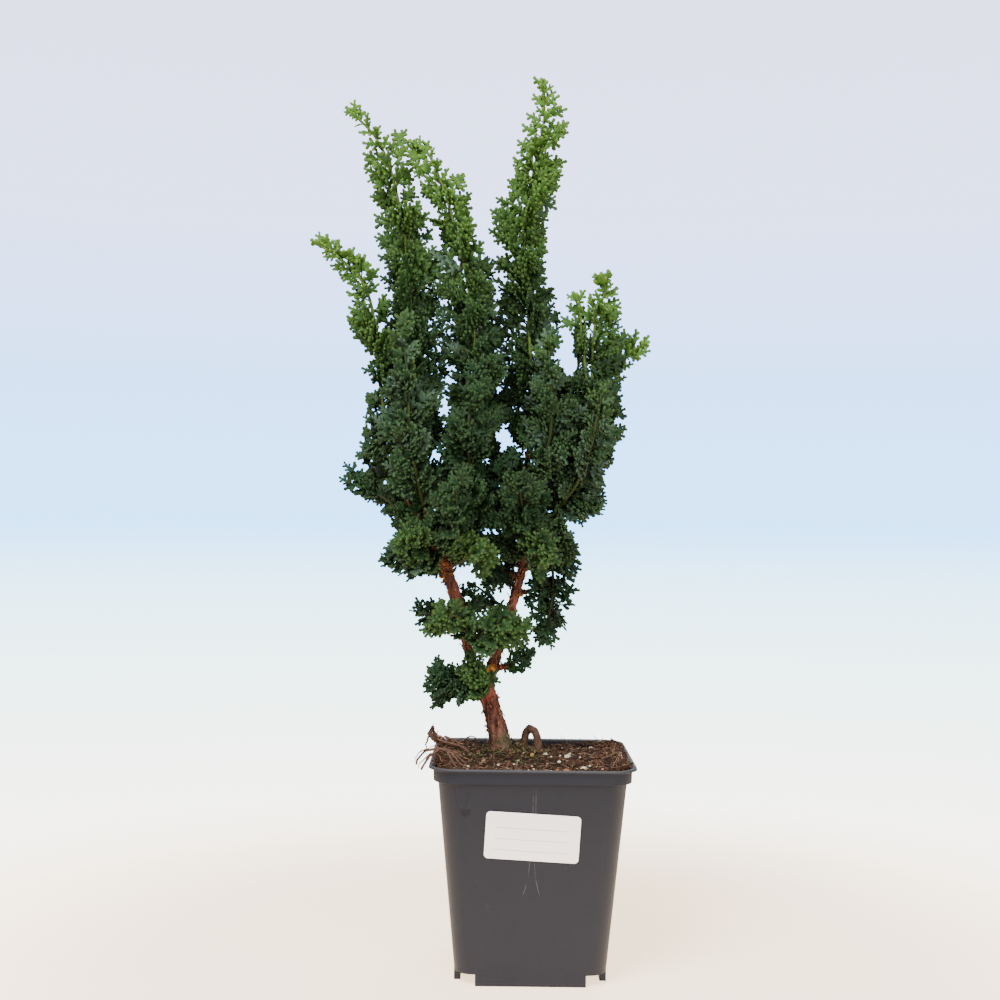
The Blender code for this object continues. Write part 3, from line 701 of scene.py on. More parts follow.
def tube_arrays(path, radii, sides):
    """A closed tapering tube along path, whose ends come to a blunt point."""
    heading = (path[1] - path[0]).normalized()
    side = heading.orthogonal().normalized()
    points = [path[0] - heading * radii[0] * 0.4]
    for i, place in enumerate(path):
        turned = (path[min(i + 1, len(path) - 1)] - path[max(i - 1, 0)]).normalized()
        side = heading.rotation_difference(turned) @ side
        heading = turned
        for k in range(sides):
            points.append(place + Matrix.Rotation(2 * math.pi * k / sides, 3, heading) @ side * radii[i])
    points.append(path[-1] + heading * radii[-1] * 0.4)
    triangles = []
    last = len(points) - 1
    for k in range(sides):
        j = (k + 1) % sides
        triangles += [(0, 1 + j, 1 + k), (last, last - sides + k, last - sides + j)]
        for low in range(1, last - sides, sides):
            triangles += [(low + k, low + j, low + sides + j), (low + k, low + sides + j, low + sides + k)]
    return np.array(points), np.array(triangles)


def frame_along(direction, facing):
    """Axes of something that points along direction, with its upper face turned to facing."""
    up = facing - direction * facing.dot(direction)
    if up.length < 0.05:
        up = direction.orthogonal()
    up.normalize()
    return Matrix((direction, up.cross(direction), up)).transposed()


def add_sprig(growth, kind, place, direction, facing, size, young, bloom, shade):
    turn = frame_along(direction, facing) * (size / growth.sprigs[kind].length)
    growth.leaves.append(Leaf(kind, Matrix.Translation(place) @ turn.to_4x4(), young, bloom, shade))


# Length of a full sprig, how much longer a young one is, and how far apart they stand on a branchlet
SPRIG_LENGTH = 6.4 * MM
SPRIG_YOUNG = 1.8 * MM
SPRIG_STEP = 2.3
SPRIG_STEP_YOUNG = 0.7
BRANCHLET_RADII = [0.5 * MM, 0.42 * MM, 0.32 * MM]


def grow_frond(growth, root, end, facing, young, bloom, dice):
    """A flat branchlet from its root on the stem to its end, with sprigs on both sides and at its tip."""
    run = end - root
    length = run.length
    direction = run.normalized()
    across = frame_along(direction, facing) @ Vector((0, 1, 0))
    full = SPRIG_LENGTH + SPRIG_YOUNG * young
    last = min(full, 0.8 * length + 1.2 * MM)
    stop = end - direction * last
    shade = dice.random()
    side = dice.choice((-1, 1))
    if length - last > 1.5 * MM:
        rib = tube_arrays([root, root.lerp(stop, 0.5), stop + direction * 0.3 * MM], BRANCHLET_RADII, 3)
        growth.ribs.append((*rib, young, np.full(len(rib[0]), 0.5)))
    along = length - last
    while along > 1.8 * MM:
        size = min(full * 0.9, (length - along) * 0.8 + 1.6 * MM) * dice.uniform(0.85, 1.1)
        slant = math.radians(dice.uniform(42, 60))
        out = direction * math.cos(slant) + across * side * math.sin(slant)
        lift = facing * dice.uniform(-0.15, 0.25)
        kind = "sprig_short" if size < 5.5 * MM else dice.choice(("sprig_even", "sprig_short"))
        add_sprig(growth, kind, root + direction * along, (out + lift).normalized(), facing, size,
                  young * 0.85, bloom, shade * 0.6 + 0.4 * dice.random())
        side = -side
        along -= (SPRIG_STEP + SPRIG_STEP_YOUNG * young) * dice.uniform(0.85, 1.15) * MM
    kind = "sprig_stub" if last < 4.5 * MM else dice.choice(("sprig_even", "sprig_long"))
    add_sprig(growth, kind, stop, direction, facing, last, young, bloom, shade)


# How far apart the lobes of a packed spray are, and where they begin against its reach
LOBE_GAP = 3.4 * MM
LOBE_FROM = 0.45


def tips_of(cad, line, reach):
    """The ends of the lobes of a CAD spray: its points far from the stem, one for each lobe."""
    far = []
    for vertex in cad.data.vertices:
        nearest = min(range(len(line)), key=lambda i: (line[i] - vertex.co).length_squared)
        away = (line[nearest] - vertex.co).length
        if away > LOBE_FROM * reach:
            far.append((away, nearest, vertex.co.copy()))
    far.sort(key=lambda entry: -entry[0])
    kept = []
    for away, nearest, place in far:
        if all((place - other).length > LOBE_GAP for _, _, other in kept):
            kept.append((away, nearest, place))
    return kept


# Gaps where the photo shows the sky through the crown: place and height at the middle's depth, and size
CLEARINGS = ((-13.5, 238.5, 1.6), (-31, 176.5, 3.2), (-26, 174.5, 2), (-16.5, 168, 1.2), (13.5, 284, 0.8),
    (14.7, 278, 1.2), (15.5, 271.5, 0.8))

# Half a frond's width in millimetres, at its root and what its end adds
FROND_HALF = 1.8
FROND_WIDENS = 1.4

# How a frond is brought nearer to its shoot's edge: how far it may pass the edge to the left and the right,
# and the least and the most of its own length
EDGE_SPARE = (3.2 * MM, 0.6 * MM)
LEAST_FIT = 0.6
MOST_FIT = 2.1


def in_view(place):
    """Where a place is seen from the front, at the depth of the middle: to the side and height."""
    depth = (place.y - CAMERA_PLACE.y) / -CAMERA_PLACE.y
    return Vector(((place.x - CAMERA_PLACE.x) / depth + CAMERA_PLACE.x,
                   (place.z - CAMERA_PLACE.z) / depth + CAMERA_PLACE.z))


def hides_a_gap(root, end):
    a, b = in_view(root), in_view(end)
    for x, height, size in CLEARINGS:
        middle = Vector((x, height)) * MM
        share = max(0, min(1, (middle - a).dot(b - a) / max((b - a).length_squared, 1e-9)))
        if (a.lerp(b, share) - middle).length < (size + FROND_HALF + FROND_WIDENS * share) * MM:
            return True
    return False


def room(edges, place):
    """How far from the middle of the scene a spray may reach to both sides at the height of place."""
    depth = (place.y - CAMERA_PLACE.y) / -CAMERA_PLACE.y
    height = in_view(place).y / MM
    heights = [edge[0] for edge in reversed(edges)]
    if not heights[0] <= height <= heights[-1]:
        return None
    sides = [np.interp(height, heights, [edge[i] for edge in reversed(edges)]) * MM for i in (1, 2)]
    return [(side - CAMERA_PLACE.x) * depth + CAMERA_PLACE.x for side in sides]


def fitted(name, place, direction, size, ripe):
    """A frond's length, brought nearer to what the photo shows on that side of its shoot."""
    if name in SHOOT_EDGES and abs(direction.x) > 0.4:
        sides = room(SHOOT_EDGES[name], place + direction * size)
        if sides:
            right = direction.x > 0
            wanted = (sides[right] - place.x) / direction.x + EDGE_SPARE[right]
            size *= min(1.25 + 2.5 * ripe, MOST_FIT, max(LEAST_FIT, wanted / size))
    sides = room(CROWN_EDGES, place + direction * size)
    if sides and abs(direction.x) > 0.1:
        allowed = (sides[direction.x > 0] - place.x) / direction.x
        size = min(size, allowed + 2 * MM)
    return size


# Fronds that stand out of their shoots in the photo, from root to end
LONE_FRONDS = {
    "back_hanging": (((-16, 26, 181), (-22, 27, 168)), ((-14, 26, 180), (-15, 27, 166)),
        ((-12, 22, 181), (-10, 22, 168)), ((-18, 28, 180), (-27, 28, 173)),
        ((-15, 20, 183), (-19, 19, 171))),
    "pad_front_left": (((-31, -7, 157), (-32, -3, 172)), ((-30, -7, 157), (-26, -2, 171)),
        ((-30, -8, 156), (-22, -4, 166)), ((-31, -12, 154), (-28, -14, 162))),
    "pad_front_right": (((-8, -25, 153), (-2, -24, 146)), ((-10, -25, 152), (-5, -24, 145)),
        ((-24, -18, 150), (-27, -17, 161)), ((-23, -19, 151), (-22, -17, 161)),
        ((-25, -16, 149), (-30, -15, 156)), ((-22, -20, 151), (-18, -20, 160))),
    "pad_low_left": (((-42, -6, 127), (-42.5, -6, 140)), ((-40, -6, 127), (-38, -6, 136)),
        ((-44, -8, 126), (-47, -8, 134)), ((-43, -7, 129), (-40, -8, 138)),
        ((-41, -6, 128), (-35, -5, 135)), ((-42, -6, 129), (-44, -5, 139))),
    "tuft_fork": (((-26, -13, 132), (-30, -14, 143)), ((-26, -13, 133), (-26, -14, 145)),
        ((-26, -14, 132), (-32, -14, 138)), ((-25, -12, 130), (-22, -13, 139))),
    "pad_left": (((-47, 3, 157), (-57, 3, 159)), ((-46, 3, 157), (-54, 2, 152)),
        ((-48, 3, 157), (-54, 3, 165))),
    "leader_low_right": (((27, 1, 284), (39, 1, 294)), ((26, 2, 276), (40, 2, 286)),
        ((28, 0, 292), (39, 0, 301)), ((26, 2, 282), (17, 2, 291)), ((27, 0, 290), (20, 0, 298)),
        ((26, 2, 270), (40, 3, 278)), ((28, 0, 296), (24, 0, 305)), ((26, 3, 264), (40, 4, 271))),
    "shoot_far_left": (((-78, -15, 305), (-88, -15, 309)), ((-75, -14, 298), (-86, -14, 302)),
        ((-73, -14, 291), (-85, -14, 295)), ((-80, -15, 308), (-78, -15, 318)),
        ((-77, -15, 304), (-71, -15, 313)), ((-85, -16, 313), (-82, -16, 322)),
        ((-83, -15, 312), (-92, -15, 312)), ((-91, -17, 318), (-90, -17, 325))),
    "leader_middle": (((-28, -8, 257), (-41, -7, 262)), ((-28, -8, 251), (-41, -7, 255)),
        ((-29, -8, 245), (-40, -7, 249)), ((-28, -8, 263), (-39, -7, 268)),
        ((-30, -7, 290), (-42, -7, 297)), ((-29, -8, 282), (-41, -8, 289)),
        ((-30, -7, 297), (-41, -7, 305))),
    "leader_right": (((2.5, 6, 385), (-6, 6, 389)), ((1.5, 6, 378), (-8, 6, 384)),
        ((0, 7, 370), (-10, 7, 377)), ((2.6, 5, 392), (-3, 5, 398)), ((-1.5, 7, 362), (-12, 7, 369)),
        ((-3, 10, 280), (-17, 9, 290)), ((-3, 10, 270), (-17, 9, 279)), ((-4, 9, 300), (-18, 8, 309)),
        ((-4, 9, 314), (-19, 8, 323))),
    "front_left": (((-55, -27, 226), (-44, -25, 232)), ((-56, -27, 229), (-45, -25, 237))),
    "left_low": (((-74, -13, 212), (-88, -13, 219)), ((-76, -12, 214), (-86, -12, 226)),
        ((-70, -13, 210), (-83, -13, 213)), ((-72, -13, 211), (-83, -11, 223))),
    "shoot_far_right": (((42, 14, 274), (43, 13, 286)), ((38, 14, 267), (37, 12, 282)),
        ((46, 13, 278), (54, 13, 281)), ((40, 14, 273), (35, 13, 288)), ((44, 14, 278), (41, 13, 291)),
        ((46, 14, 280), (47, 13, 291)), ((49, 13, 282), (53, 12, 288))),
    "right_drop": (((12, 9, 172), (21, 8, 177)), ((11, 8, 162), (20, 7, 162)), ((12, 8, 168), (22, 7, 169)),
        ((12, 10, 182), (22, 10, 186)), ((9, 11, 178), (1, 11, 173)), ((10, 10, 170), (2, 9, 165)),
        ((10, 9, 164), (1, 9, 159)), ((9, 9, 156), (2, 8, 151)), ((8, 10, 176), (-4, 10, 171)),
        ((8, 9, 172), (-3, 8, 167)), ((8, 9, 167), (-4, 9, 161)), ((8, 9, 161), (-3, 9, 155)),
        ((7, 8, 156), (-1, 8, 149)), ((7, 8, 152), (1, 8, 144)), ((5, 13, 184), (-4, 12, 179)),
        ((8, 8, 152), (3, 8, 142)), ((8, 8, 151), (9, 7, 141)), ((10, 8, 156), (16, 7, 150))),
}

# How far down from the tips the green of the bright shoots is young, in millimetres
YOUNG_LENGTHS = {"leader_left": 105, "leader_middle": 98, "leader_right": 120, "leader_low_right": 48,
    "side_low_right": 30, "shoot_far_right": 32, "shoot_far_left": 85}
YOUNG_ELSEWHERE = 20

# Sprays in the shade of the crown, with painted shade: a youth below zero leaves their lobe ends hardly
# paler, so they look darker
CROWN_SHADED_SPRAYS = {"pad_low_left": -0.12, "pad_left": -0.12, "right_drop": -0.12, "right_drop_inner": -0.12,
    "left_low": -0.08, "left_lowest": -0.08, "twig_right": -0.12, "back_hanging": -0.12,
    "front_inner": -0.12, "front_mid_left": -0.03, "front_mid_right": -0.05, "front_middle": -0.05,
    "tuft_inner": -0.12}


def youth(name, from_tip):
    """How light and yellow the green is, by the distance from the shoot's tip, and below zero for painted
    shade on the sprays in the crown's shade.
    """
    # painted shade for the sprays in the crown's shade
    if name in CROWN_SHADED_SPRAYS:
        return CROWN_SHADED_SPRAYS[name]
    length = YOUNG_LENGTHS.get(name, 0) * MM
    if not length:
        return 0.12 * max(0.0, 1 - from_tip / (YOUNG_ELSEWHERE * MM))
    return max(0.0, 1 - from_tip / length) ** 1.6


# Sprays that show much of their grey undersides, and how often a frond is turned over, there and elsewhere
BLOOMED = ("front_left", "left_middle", "side_left_high", "front_right", "left_lowest", "front_far_right")
TURNED_OVER = 0.45
TURNED_OVER_ELSEWHERE = 0.06

# How much the fronds turn about themselves, in degrees, on an upright shoot and elsewhere
SWAY_UPRIGHT = 26
SWAY = 30
CROWN_MIDDLE = Vector((-20, 5, 0)) * MM


def bloom_of(name, dice):
    """How much grey wax a frond has underneath."""
    return dice.random() ** (1.2 if name in BLOOMED else 7)


def face_of(name, place, axis, direction, dice):
    """The upper side of a frond. Its plane holds the stem on an upright shoot; else it looks outwards."""
    out = Vector((*(place - CROWN_MIDDLE).xy, 0)).normalized()
    if name in SHOOT_EDGES:
        facing = axis.cross(direction).normalized()
        if facing.dot(out + Vector((0, -0.6, 0.3))) < 0:
            facing.negate()
        sway = SWAY_UPRIGHT
    else:
        facing = (out + Vector((0, -0.25, 0.5))).normalized()
        sway = SWAY
    if dice.random() < (TURNED_OVER if name in BLOOMED else TURNED_OVER_ELSEWHERE):
        facing.negate()
    return Matrix.Rotation(math.radians(dice.gauss(0, sway)), 3, direction.normalized()) @ facing


# How much closer the fronds stand at the tip than further down, where a shoot differs from the rest
TIGHTNESS = {"shoot_far_left": 0.36, "leader_low_right": 0.42}

# Ways in which an upright shoot's fronds stand off in turn: mostly to both sides, seen from the front
PHASES = (0, 180, 75, 205, -25, 160, 262, 20, 190, 105)
PHASE_SPREAD = 14
GOLDEN_TURN = math.radians(137.5)

# A frond's opening from the stem in degrees, and its length against its shoot's reach: at the tip, and what
# is added where it is ripe, this far down or at this share of a short shoot
OPENING = 50
OPENING_RISE = 12
FROND_LENGTH = 0.46
FROND_LENGTH_RISE = 0.76
RIPE_FROM = 45 * MM
RIPE_SHARE = 0.6
FOOT_STEP = 2.8 * MM

# Where a frond may end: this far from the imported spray, and this far past the crown's edge
SURFACE_GAP = 7.5 * MM
EDGE_GAP = 1.5 * MM

STEM_SIDES = 6
STEM_FOOT = 1.05 * MM
STEM_TAPER = 0.5 * MM


class Spray:
    """A shoot with the side branches fused with it, and the fronds that grow on them."""

    def __init__(self, name, looks, sprigs, dice):
        self.name = name
        self.step = looks.frond_step
        self.dice = dice
        self.growth = Growth(sprigs)
        self.cad = frame["nodes"]["spray_" + name]
        self.surface = surface_of(self.cad)
        fused = [other for other, shoot in SHOOTS.items() if not shoot.wood and shoot.parent == name]
        self.lines = {member: leafy_line(member) for member in (name, *fused)}

    def frond(self, member, root, end, axis, direction, from_tip):
        facing = face_of(member, root, axis, direction, self.dice)
        bloom = bloom_of(member, self.dice)
        grow_frond(self.growth, root, end, facing, youth(member, from_tip), bloom, self.dice)

    def stem(self, member, line):
        """The green stem, brown towards its foot."""
        count = len(line) - 1
        slim = 0.8 if length_of(line) < 60 * MM else 1
        radii = [(STEM_FOOT - STEM_TAPER * i / count) * slim for i in range(len(line))]
        woody = np.clip(np.repeat(np.linspace(1.0, 0.0, len(line)), STEM_SIDES) * 1.2, 0, 1)
        woody = np.concatenate([[1], 0.5 + 0.5 * woody, [0.5]])
        points, triangles = tube_arrays(line, radii, STEM_SIDES)
        self.growth.ribs.append((points, triangles, 0.75 * youth(member, 0), woody))

    def beyond_the_crown(self, member, place):
        bounds = (room(edges, place) for edges in (CROWN_EDGES, SHOOT_EDGES.get(member, CROWN_EDGES)))
        return any(sides and not sides[0] - EDGE_GAP < place.x < sides[1] + EDGE_GAP for sides in bounds)

    def lobe_fronds(self, member, line):
        """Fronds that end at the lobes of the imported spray."""
        reach = SHOOTS[member].reach * MM
        whole = length_of(line)
        others = [other for key, other in self.lines.items() if key != member]
        for away, nearest, place in tips_of(self.cad, line, reach):
            from_tip = (1 - nearest / (len(line) - 1)) * whole
            if away > 1.9 * reach or any(min((p - place).length for p in other) < away for other in others):
                continue
            if self.beyond_the_crown(member, place) or (member in SHOOT_EDGES and from_tip < 18 * MM):
                continue
            root, axis = point_at(line, max(0.0, nearest / (len(line) - 1) * whole - away * 0.8))
            if not hides_a_gap(root, place):
                self.frond(member, root, place, axis, place - root, from_tip)

    def stem_fronds(self, member, line):
        """Fronds all along the stem from its tip down, and the sprig that ends it."""
        dice = self.dice
        whole = length_of(line)
        end, axis = point_at(line, whole)
        across = axis.orthogonal().normalized()
        place = end - axis * 2 * MM
        add_sprig(self.growth, "sprig_stub", place, axis, across, 5 * MM, youth(member, 0), 0, 0.6)
        upright = member in SHOOT_EDGES
        tight = TIGHTNESS.get(member, 0.5 if upright else 0.7)
        turn = dice.uniform(0, 6)
        along = whole - 1.5 * MM
        phase = 0
        while along > 1 * MM:
            place, axis = point_at(line, along)
            ripe = min(1.0, (whole - along) / min(RIPE_FROM, whole * RIPE_SHARE))
            opening = math.radians(OPENING + OPENING_RISE * ripe + dice.uniform(-12, 8))
            side = axis.orthogonal().normalized()
            if upright:
                side = axis.cross(Vector((0, 1, 0))).normalized()
                turn = math.radians(PHASES[phase % len(PHASES)] + dice.gauss(0, PHASE_SPREAD))
            out = Matrix.Rotation(turn, 3, axis) @ side
            direction = (axis * math.cos(opening) + out * math.sin(opening)).normalized()
            share = FROND_LENGTH + FROND_LENGTH_RISE * ripe
            size = SHOOTS[member].reach * MM * share * dice.uniform(0.75, 1.1)
            size = fitted(member, place, direction, size, ripe)
            end = place + direction * size
            _, _, _, gap = self.surface.find_nearest(end)
            if size > 3 * MM and (upright or gap < SURFACE_GAP) and not hides_a_gap(place, end):
                self.frond(member, place, end, axis, direction, whole - along)
            turn += GOLDEN_TURN
            phase += 1
            behind = 1.1 if place.y > 20 * MM else 1
            along -= self.step * (tight + (1 - tight) * ripe) * behind

    def lone_fronds(self):
        for points in LONE_FRONDS.get(self.name, ()):
            root, end = (Vector(point) * MM for point in points)
            facing = face_of(self.name, root, Vector((0, 0, 1)), end - root, self.dice)
            young = youth(self.name, (self.lines[self.name][-1] - end).length)
            grow_frond(self.growth, root, end, facing, young, 0, self.dice)

    def foot_fronds(self):
        """Dark fronds on the upper part of the woody foot."""
        dice = self.dice
        bare = SHOOTS[self.name].wood * MM
        foot = centre_line(self.name)
        along = bare if bare > 7 * MM else 0
        turn = 0
        while along > bare * 0.3:
            place, axis = point_at(foot, along)
            out = Matrix.Rotation(turn, 3, axis) @ axis.orthogonal().normalized()
            direction = (axis * 0.6 + out * 0.8).normalized()
            end = place + direction * dice.uniform(8, 13) * MM
            if not hides_a_gap(place, end):
                facing = face_of(self.name, place, axis, direction, dice)
                grow_frond(self.growth, place, end, facing, 0, 0, dice)
            turn += GOLDEN_TURN
            along -= FOOT_STEP

    def grow(self):
        for member, line in self.lines.items():
            self.stem(member, line)
            self.lobe_fronds(member, line)
            self.stem_fronds(member, line)
        self.lone_fronds()
        self.foot_fronds()
        points, triangles, tone, bark = self.growth.arrays()
        made = mesh_object("foliage_" + self.name, points, triangles)
        set_attribute(made, "leaf", "FLOAT_COLOR", tone)
        set_attribute(made, "woody", "FLOAT", bark)
        return made


def foliage_finish(looks):
    finish = Finish("foliage_leaves", roughness=0.6, specular=0.2)
    tip, young, bloom = finish.split(finish.attribute("leaf", "Color"))
    shade = finish.attribute("leaf", "Alpha")
    woody = finish.attribute("woody")
    patch = finish.noise(60, 2)
    old = finish.mix(shade * 0.6 + finish.band(patch, 0.35, 0.65) * 0.4, looks.shade_green,
                     looks.mature_green)
    green = finish.mix(finish.clamped(young), old, looks.young_green)
    lit = finish.mix(finish.clamped(tip * (young * 0.77 + 0.15)), green, looks.tip_green)
    pale = finish.mix(finish.clamped(bloom * 0.55), lit, looks.bloom_grey)
    stem = finish.mix(finish.clamped(young * 0.9 + 0.1), looks.old_stem, looks.young_stem)
    finish.colour(finish.mix(finish.band(woody, 0.2, 0.6), pale, stem))
    finish.bump(finish.cells(1400), 0.25 * MM, 0.5)
    return finish


# Tree

TRUNK_FOOT = Vector((-12.5, 5, 93)) * MM
FORK_SCAR = Vector((-19.5, -2.5, 131)) * MM
SCAR_SIZE = (3.8 * MM, 3.2 * MM, 4.6 * MM)
SCAR_DARK = (0.20, 0.06, 0.02)
FLECK = Vector((-19.5, -4, 120)) * MM
FLECK_RED = (0.42, 0.06, 0.03)
MOSS_MIDDLE = TRUNK_FOOT + Vector((2, -5, 5)) * MM

# Where the trunk is worn pale: it fades in above the mix, and out at a height that wanders
WORN_FROM = (93 * MM, 99 * MM)
WORN_TO = (98 * MM, 118 * MM)
WORN_WANDER = 30 * MM
RIGHT_SIDE = (-17 * MM, -12 * MM)
# Painted shade of the crown: the limbs darken between these heights
CROWN_SHADE_HEIGHTS = (115 * MM, 200 * MM)


def nearest_on(lines, place):
    """The nearest point of some lines, and the direction there."""
    line = min(lines, key=lambda path: min((p - place).length_squared for p in path))
    i = min(range(len(line)), key=lambda k: (line[k] - place).length_squared)
    a, b = line[max(i - 1, 0)], line[min(i + 1, len(line) - 1)]
    return line[i], (b - a).normalized()


# A flake's three parts: how far each rises and runs on, and how wide its end is against its start
FLAKE_CURL = ((0.12, 0.8, 1.15), (0.38, 0.7, 0.9), (0.6, 0.45, 0.55))
FLAKE_WALL = 0.16 * MM

# Faces of the bark that are nearer to a stem's middle than this carry flakes
FLAKED = 8 * MM


def model_flake():
    """A strip of bark whose end curls off the stem."""
    deselect_all()
    bpy.ops.mesh.primitive_plane_add(size=1)
    made = added("flake")
    resized(made, (0.8 * MM, 0.45 * MM, 1))
    for lift, draw, width in FLAKE_CURL:
        far = max(vertex.co.x for vertex in made.data.vertices) - 0.01 * MM
        select_edges(made, lambda a, b: min(a.x, b.x) > far)
        bpy.ops.mesh.extrude_region_move(TRANSFORM_OT_translate={"value": (draw * MM, 0, lift * MM)})
        bpy.ops.transform.resize(value=(1, width, 1))
        bpy.ops.object.mode_set(mode="OBJECT")
    apply_modifier(made, "SOLIDIFY", thickness=FLAKE_WALL, offset=0)
    return made


def bark_flakes(tree, looks):
    """Curling strips all over the trunk and the bare limbs."""
    flake = model_flake()
    points, triangles = arrays_of(flake)
    bpy.data.objects.remove(flake)
    lines = [centre_line(name) for name in LIMBS]
    dice = random.Random(11)
    faces = [face for face in tree.data.polygons if face.center.z > SOIL_TOP - 1 * MM]
    centres = np.array([face.center for face in faces])
    stems = np.array([point for line in lines for point in line])
    away = np.linalg.norm(centres[:, None] - stems[None], axis=2).min(axis=1)
    faces = [face for face, gap in zip(faces, away) if gap < FLAKED]
    parts = []
    for _ in range(looks.flakes):
        face = dice.choice(faces)
        _, along = nearest_on(lines, face.center)
        normal = face.normal
        along = (along - normal * along.dot(normal)).normalized()
        along = Matrix.Rotation(dice.gauss(0, 0.5), 3, normal) @ along
        if dice.random() < 0.35:
            along = -along
        size = dice.uniform(0.5, 1.25)
        turn = frame_along(along, normal)
        turn = turn @ Matrix.Diagonal((size, size * dice.uniform(0.7, 1.6), size * dice.uniform(0.4, 1.2)))
        placed = points @ np.array(turn).T + np.array(face.center + normal * 0.1 * MM)
        pale = dice.random()
        low = max(0.0, min(1.0, (112 * MM - face.center.z) / (14 * MM)))
        colour = Vector(looks.bark_red).lerp(Vector(looks.bark_pale) * 1.7, pale * (0.35 + 0.5 * low))
        parts.append((placed, triangles, colour * dice.uniform(0.6, 1.5)))
    made = joined("bark_flakes", parts)
    finish = Finish("bark_flake", roughness=0.8, specular=0.25)
    grain = finish.noise(900, 3)
    finish.colour(finish.speckled(grain, 0.3, 0.7, looks.bark_dark))
    finish.bump(grain, 0.2 * MM, 0.6)
    return finish.cover(made)


def bark_finish(looks):
    """Scaly red bark: pale low on the trunk, darkened on the limbs as painted shade of the crown, orange at
    the scar and mossy at the foot.
    """
    finish = Finish("bark_scaly", roughness=0.85)
    streaks = finish.noise(420, 4, vector=finish.stretched((1, 1, 0.22)))
    plates = finish.cells(620, vector=finish.stretched((1, 1, 0.4)))
    broad = finish.noise(90, 2)
    across, _, height = finish.split(finish.place())
    low = finish.band(height, *WORN_FROM) - finish.band(height + (broad - 0.5) * WORN_WANDER, *WORN_TO)
    low = finish.clamped(low)
    red = finish.mix(finish.band(streaks, 0.35, 0.68), looks.bark_dark, looks.bark_red)
    grey = finish.mix(finish.band(streaks, 0.3, 0.7), looks.bark_dark, looks.bark_pale)
    right = finish.band(across, *RIGHT_SIDE)
    patches = finish.band(broad, 0.6, 0.75) * 0.4
    wear_and_crown_shade = finish.mix(finish.clamped(low * (right * 0.28 + 0.62) + patches), red, grey)
    # painted shade: the limbs under the crown are darkened towards bark dark
    wear_and_crown_shade = finish.mix(finish.band(height, *CROWN_SHADE_HEIGHTS) * 0.65, wear_and_crown_shade, looks.bark_dark)
    scar = finish.near(FORK_SCAR, 2.5 * MM, 5.5 * MM)
    orange = finish.mix(finish.band(plates, 0.2, 0.6), SCAR_DARK, looks.scar_orange)
    marked = finish.mix(scar * finish.band(broad, 0.3, 0.6), wear_and_crown_shade, orange)
    fleck = finish.near(FLECK, 0.8 * MM, 2.4 * MM)
    marked = finish.mix(finish.clamped(fleck * 0.45), marked, FLECK_RED)
    moss = finish.near(MOSS_MIDDLE, 4 * MM, 9 * MM) * finish.band(finish.noise(300, 3), 0.3, 0.5)
    finish.colour(finish.mix(finish.clamped(moss * 0.95), marked, looks.moss))
    finish.bump(plates * 0.5 + streaks, 0.5 * MM, 0.7)
    return finish


def model_tree(looks):
    """The trunk and all bare wood, with a scar at the fork and scaly bark."""
    tree = merged_copy("tree", "tree_bark")
    deselect_all()
    bpy.ops.mesh.primitive_ico_sphere_add(subdivisions=2, radius=1, location=FORK_SCAR, scale=SCAR_SIZE)
    scar = bpy.context.view_layer.objects.active
    scar.select_set(True)
    tree.select_set(True)
    bpy.context.view_layer.objects.active = tree
    bpy.ops.object.join()
    apply_modifier(tree, "REMESH", mode="VOXEL", voxel_size=looks.bark_cell)
    apply_modifier(tree, "SMOOTH", factor=0.6, iterations=3)
    roughen(tree, "ORIGINAL_PERLIN", 5 * MM, 1.1 * MM, long=2.5)
    roughen(tree, "VORONOI_F2_F1", 1.8 * MM, 0.75 * MM, long=2.6, depth=1)
    roughen(tree, "ORIGINAL_PERLIN", 1.0 * MM, 0.5 * MM, long=1.6)
    select_only(tree)
    bpy.ops.object.shade_smooth()
    return bark_finish(looks).cover(tree)


# Old brown sprigs and scales where the sprays leave the limbs, no further from the limb than this
DEAD_TUFTS = ((-41, -12, 189), (-38, -14, 181), (-42, -11, 173), (-5, 9, 175), (-3, 8, 167), (-17, -1, 134),
    (-21, -6, 133), (-30, -6, 120), (-36, -13, 178), (-7, 5, 187), (-20, -5, 126))
DEAD_STANDOFF = 1.8 * MM
DEAD_DARK = (0.06, 0.02, 0.006)


def model_dead_sprigs(looks, sprigs):
    """Tufts of small brown sprigs on the limbs."""
    dice = random.Random(5)
    parts = []
    lines = [centre_line(name) for name in LIMBS]
    for tuft in DEAD_TUFTS:
        middle = Vector(tuft) * MM
        foot, along = nearest_on(lines, middle)
        out = middle - foot
        base = foot + out * min(0.5, DEAD_STANDOFF / out.length)
        for _ in range(looks.dead_sprigs):
            sprig = sprigs[dice.choice(("sprig_short", "sprig_stub"))]
            heading = out.normalized() + along * dice.uniform(-0.6, 0.9)
            heading = (heading + Vector([dice.uniform(-0.6, 0.6) for _ in range(3)])).normalized()
            size = dice.uniform(1.8, 3.2) * MM / sprig.length
            turn = frame_along(heading, Vector((dice.uniform(-1, 1), dice.uniform(-1, 0), 1)))
            place = base + along * dice.uniform(-2, 2) * MM
            placed = sprig.points @ np.array(turn).T * size + np.array(place)
            parts.append((placed, sprig.triangles, Vector(looks.dead_orange) * dice.uniform(0.45, 1.2)))
    made = joined("dead_sprigs", parts)
    finish = Finish("dead_scales", roughness=0.7, specular=0.3)
    finish.colour(finish.speckled(finish.noise(1200, 2), 0.25, 0.6, DEAD_DARK))
    finish.bump(finish.cells(1500), 0.2 * MM, 0.5)
    return finish.cover(made)


# Roots

# Nodes, with the size of the mesh's cells, the depth of the wrinkles, how much narrower the root is drawn,
# how far its skin is pushed out, and the height under which it is cut off
ROOTS = (("root_loop", 0.4 * MM, 0.35 * MM, 0.83, 1.0 * MM, 0),
         ("root_upright", 0.35 * MM, 0.3 * MM, 1, 0.28 * MM, 0),
         ("roots_over_rim", 0.28 * MM, 0.2 * MM, 1, 0.2 * MM, 91.2 * MM))

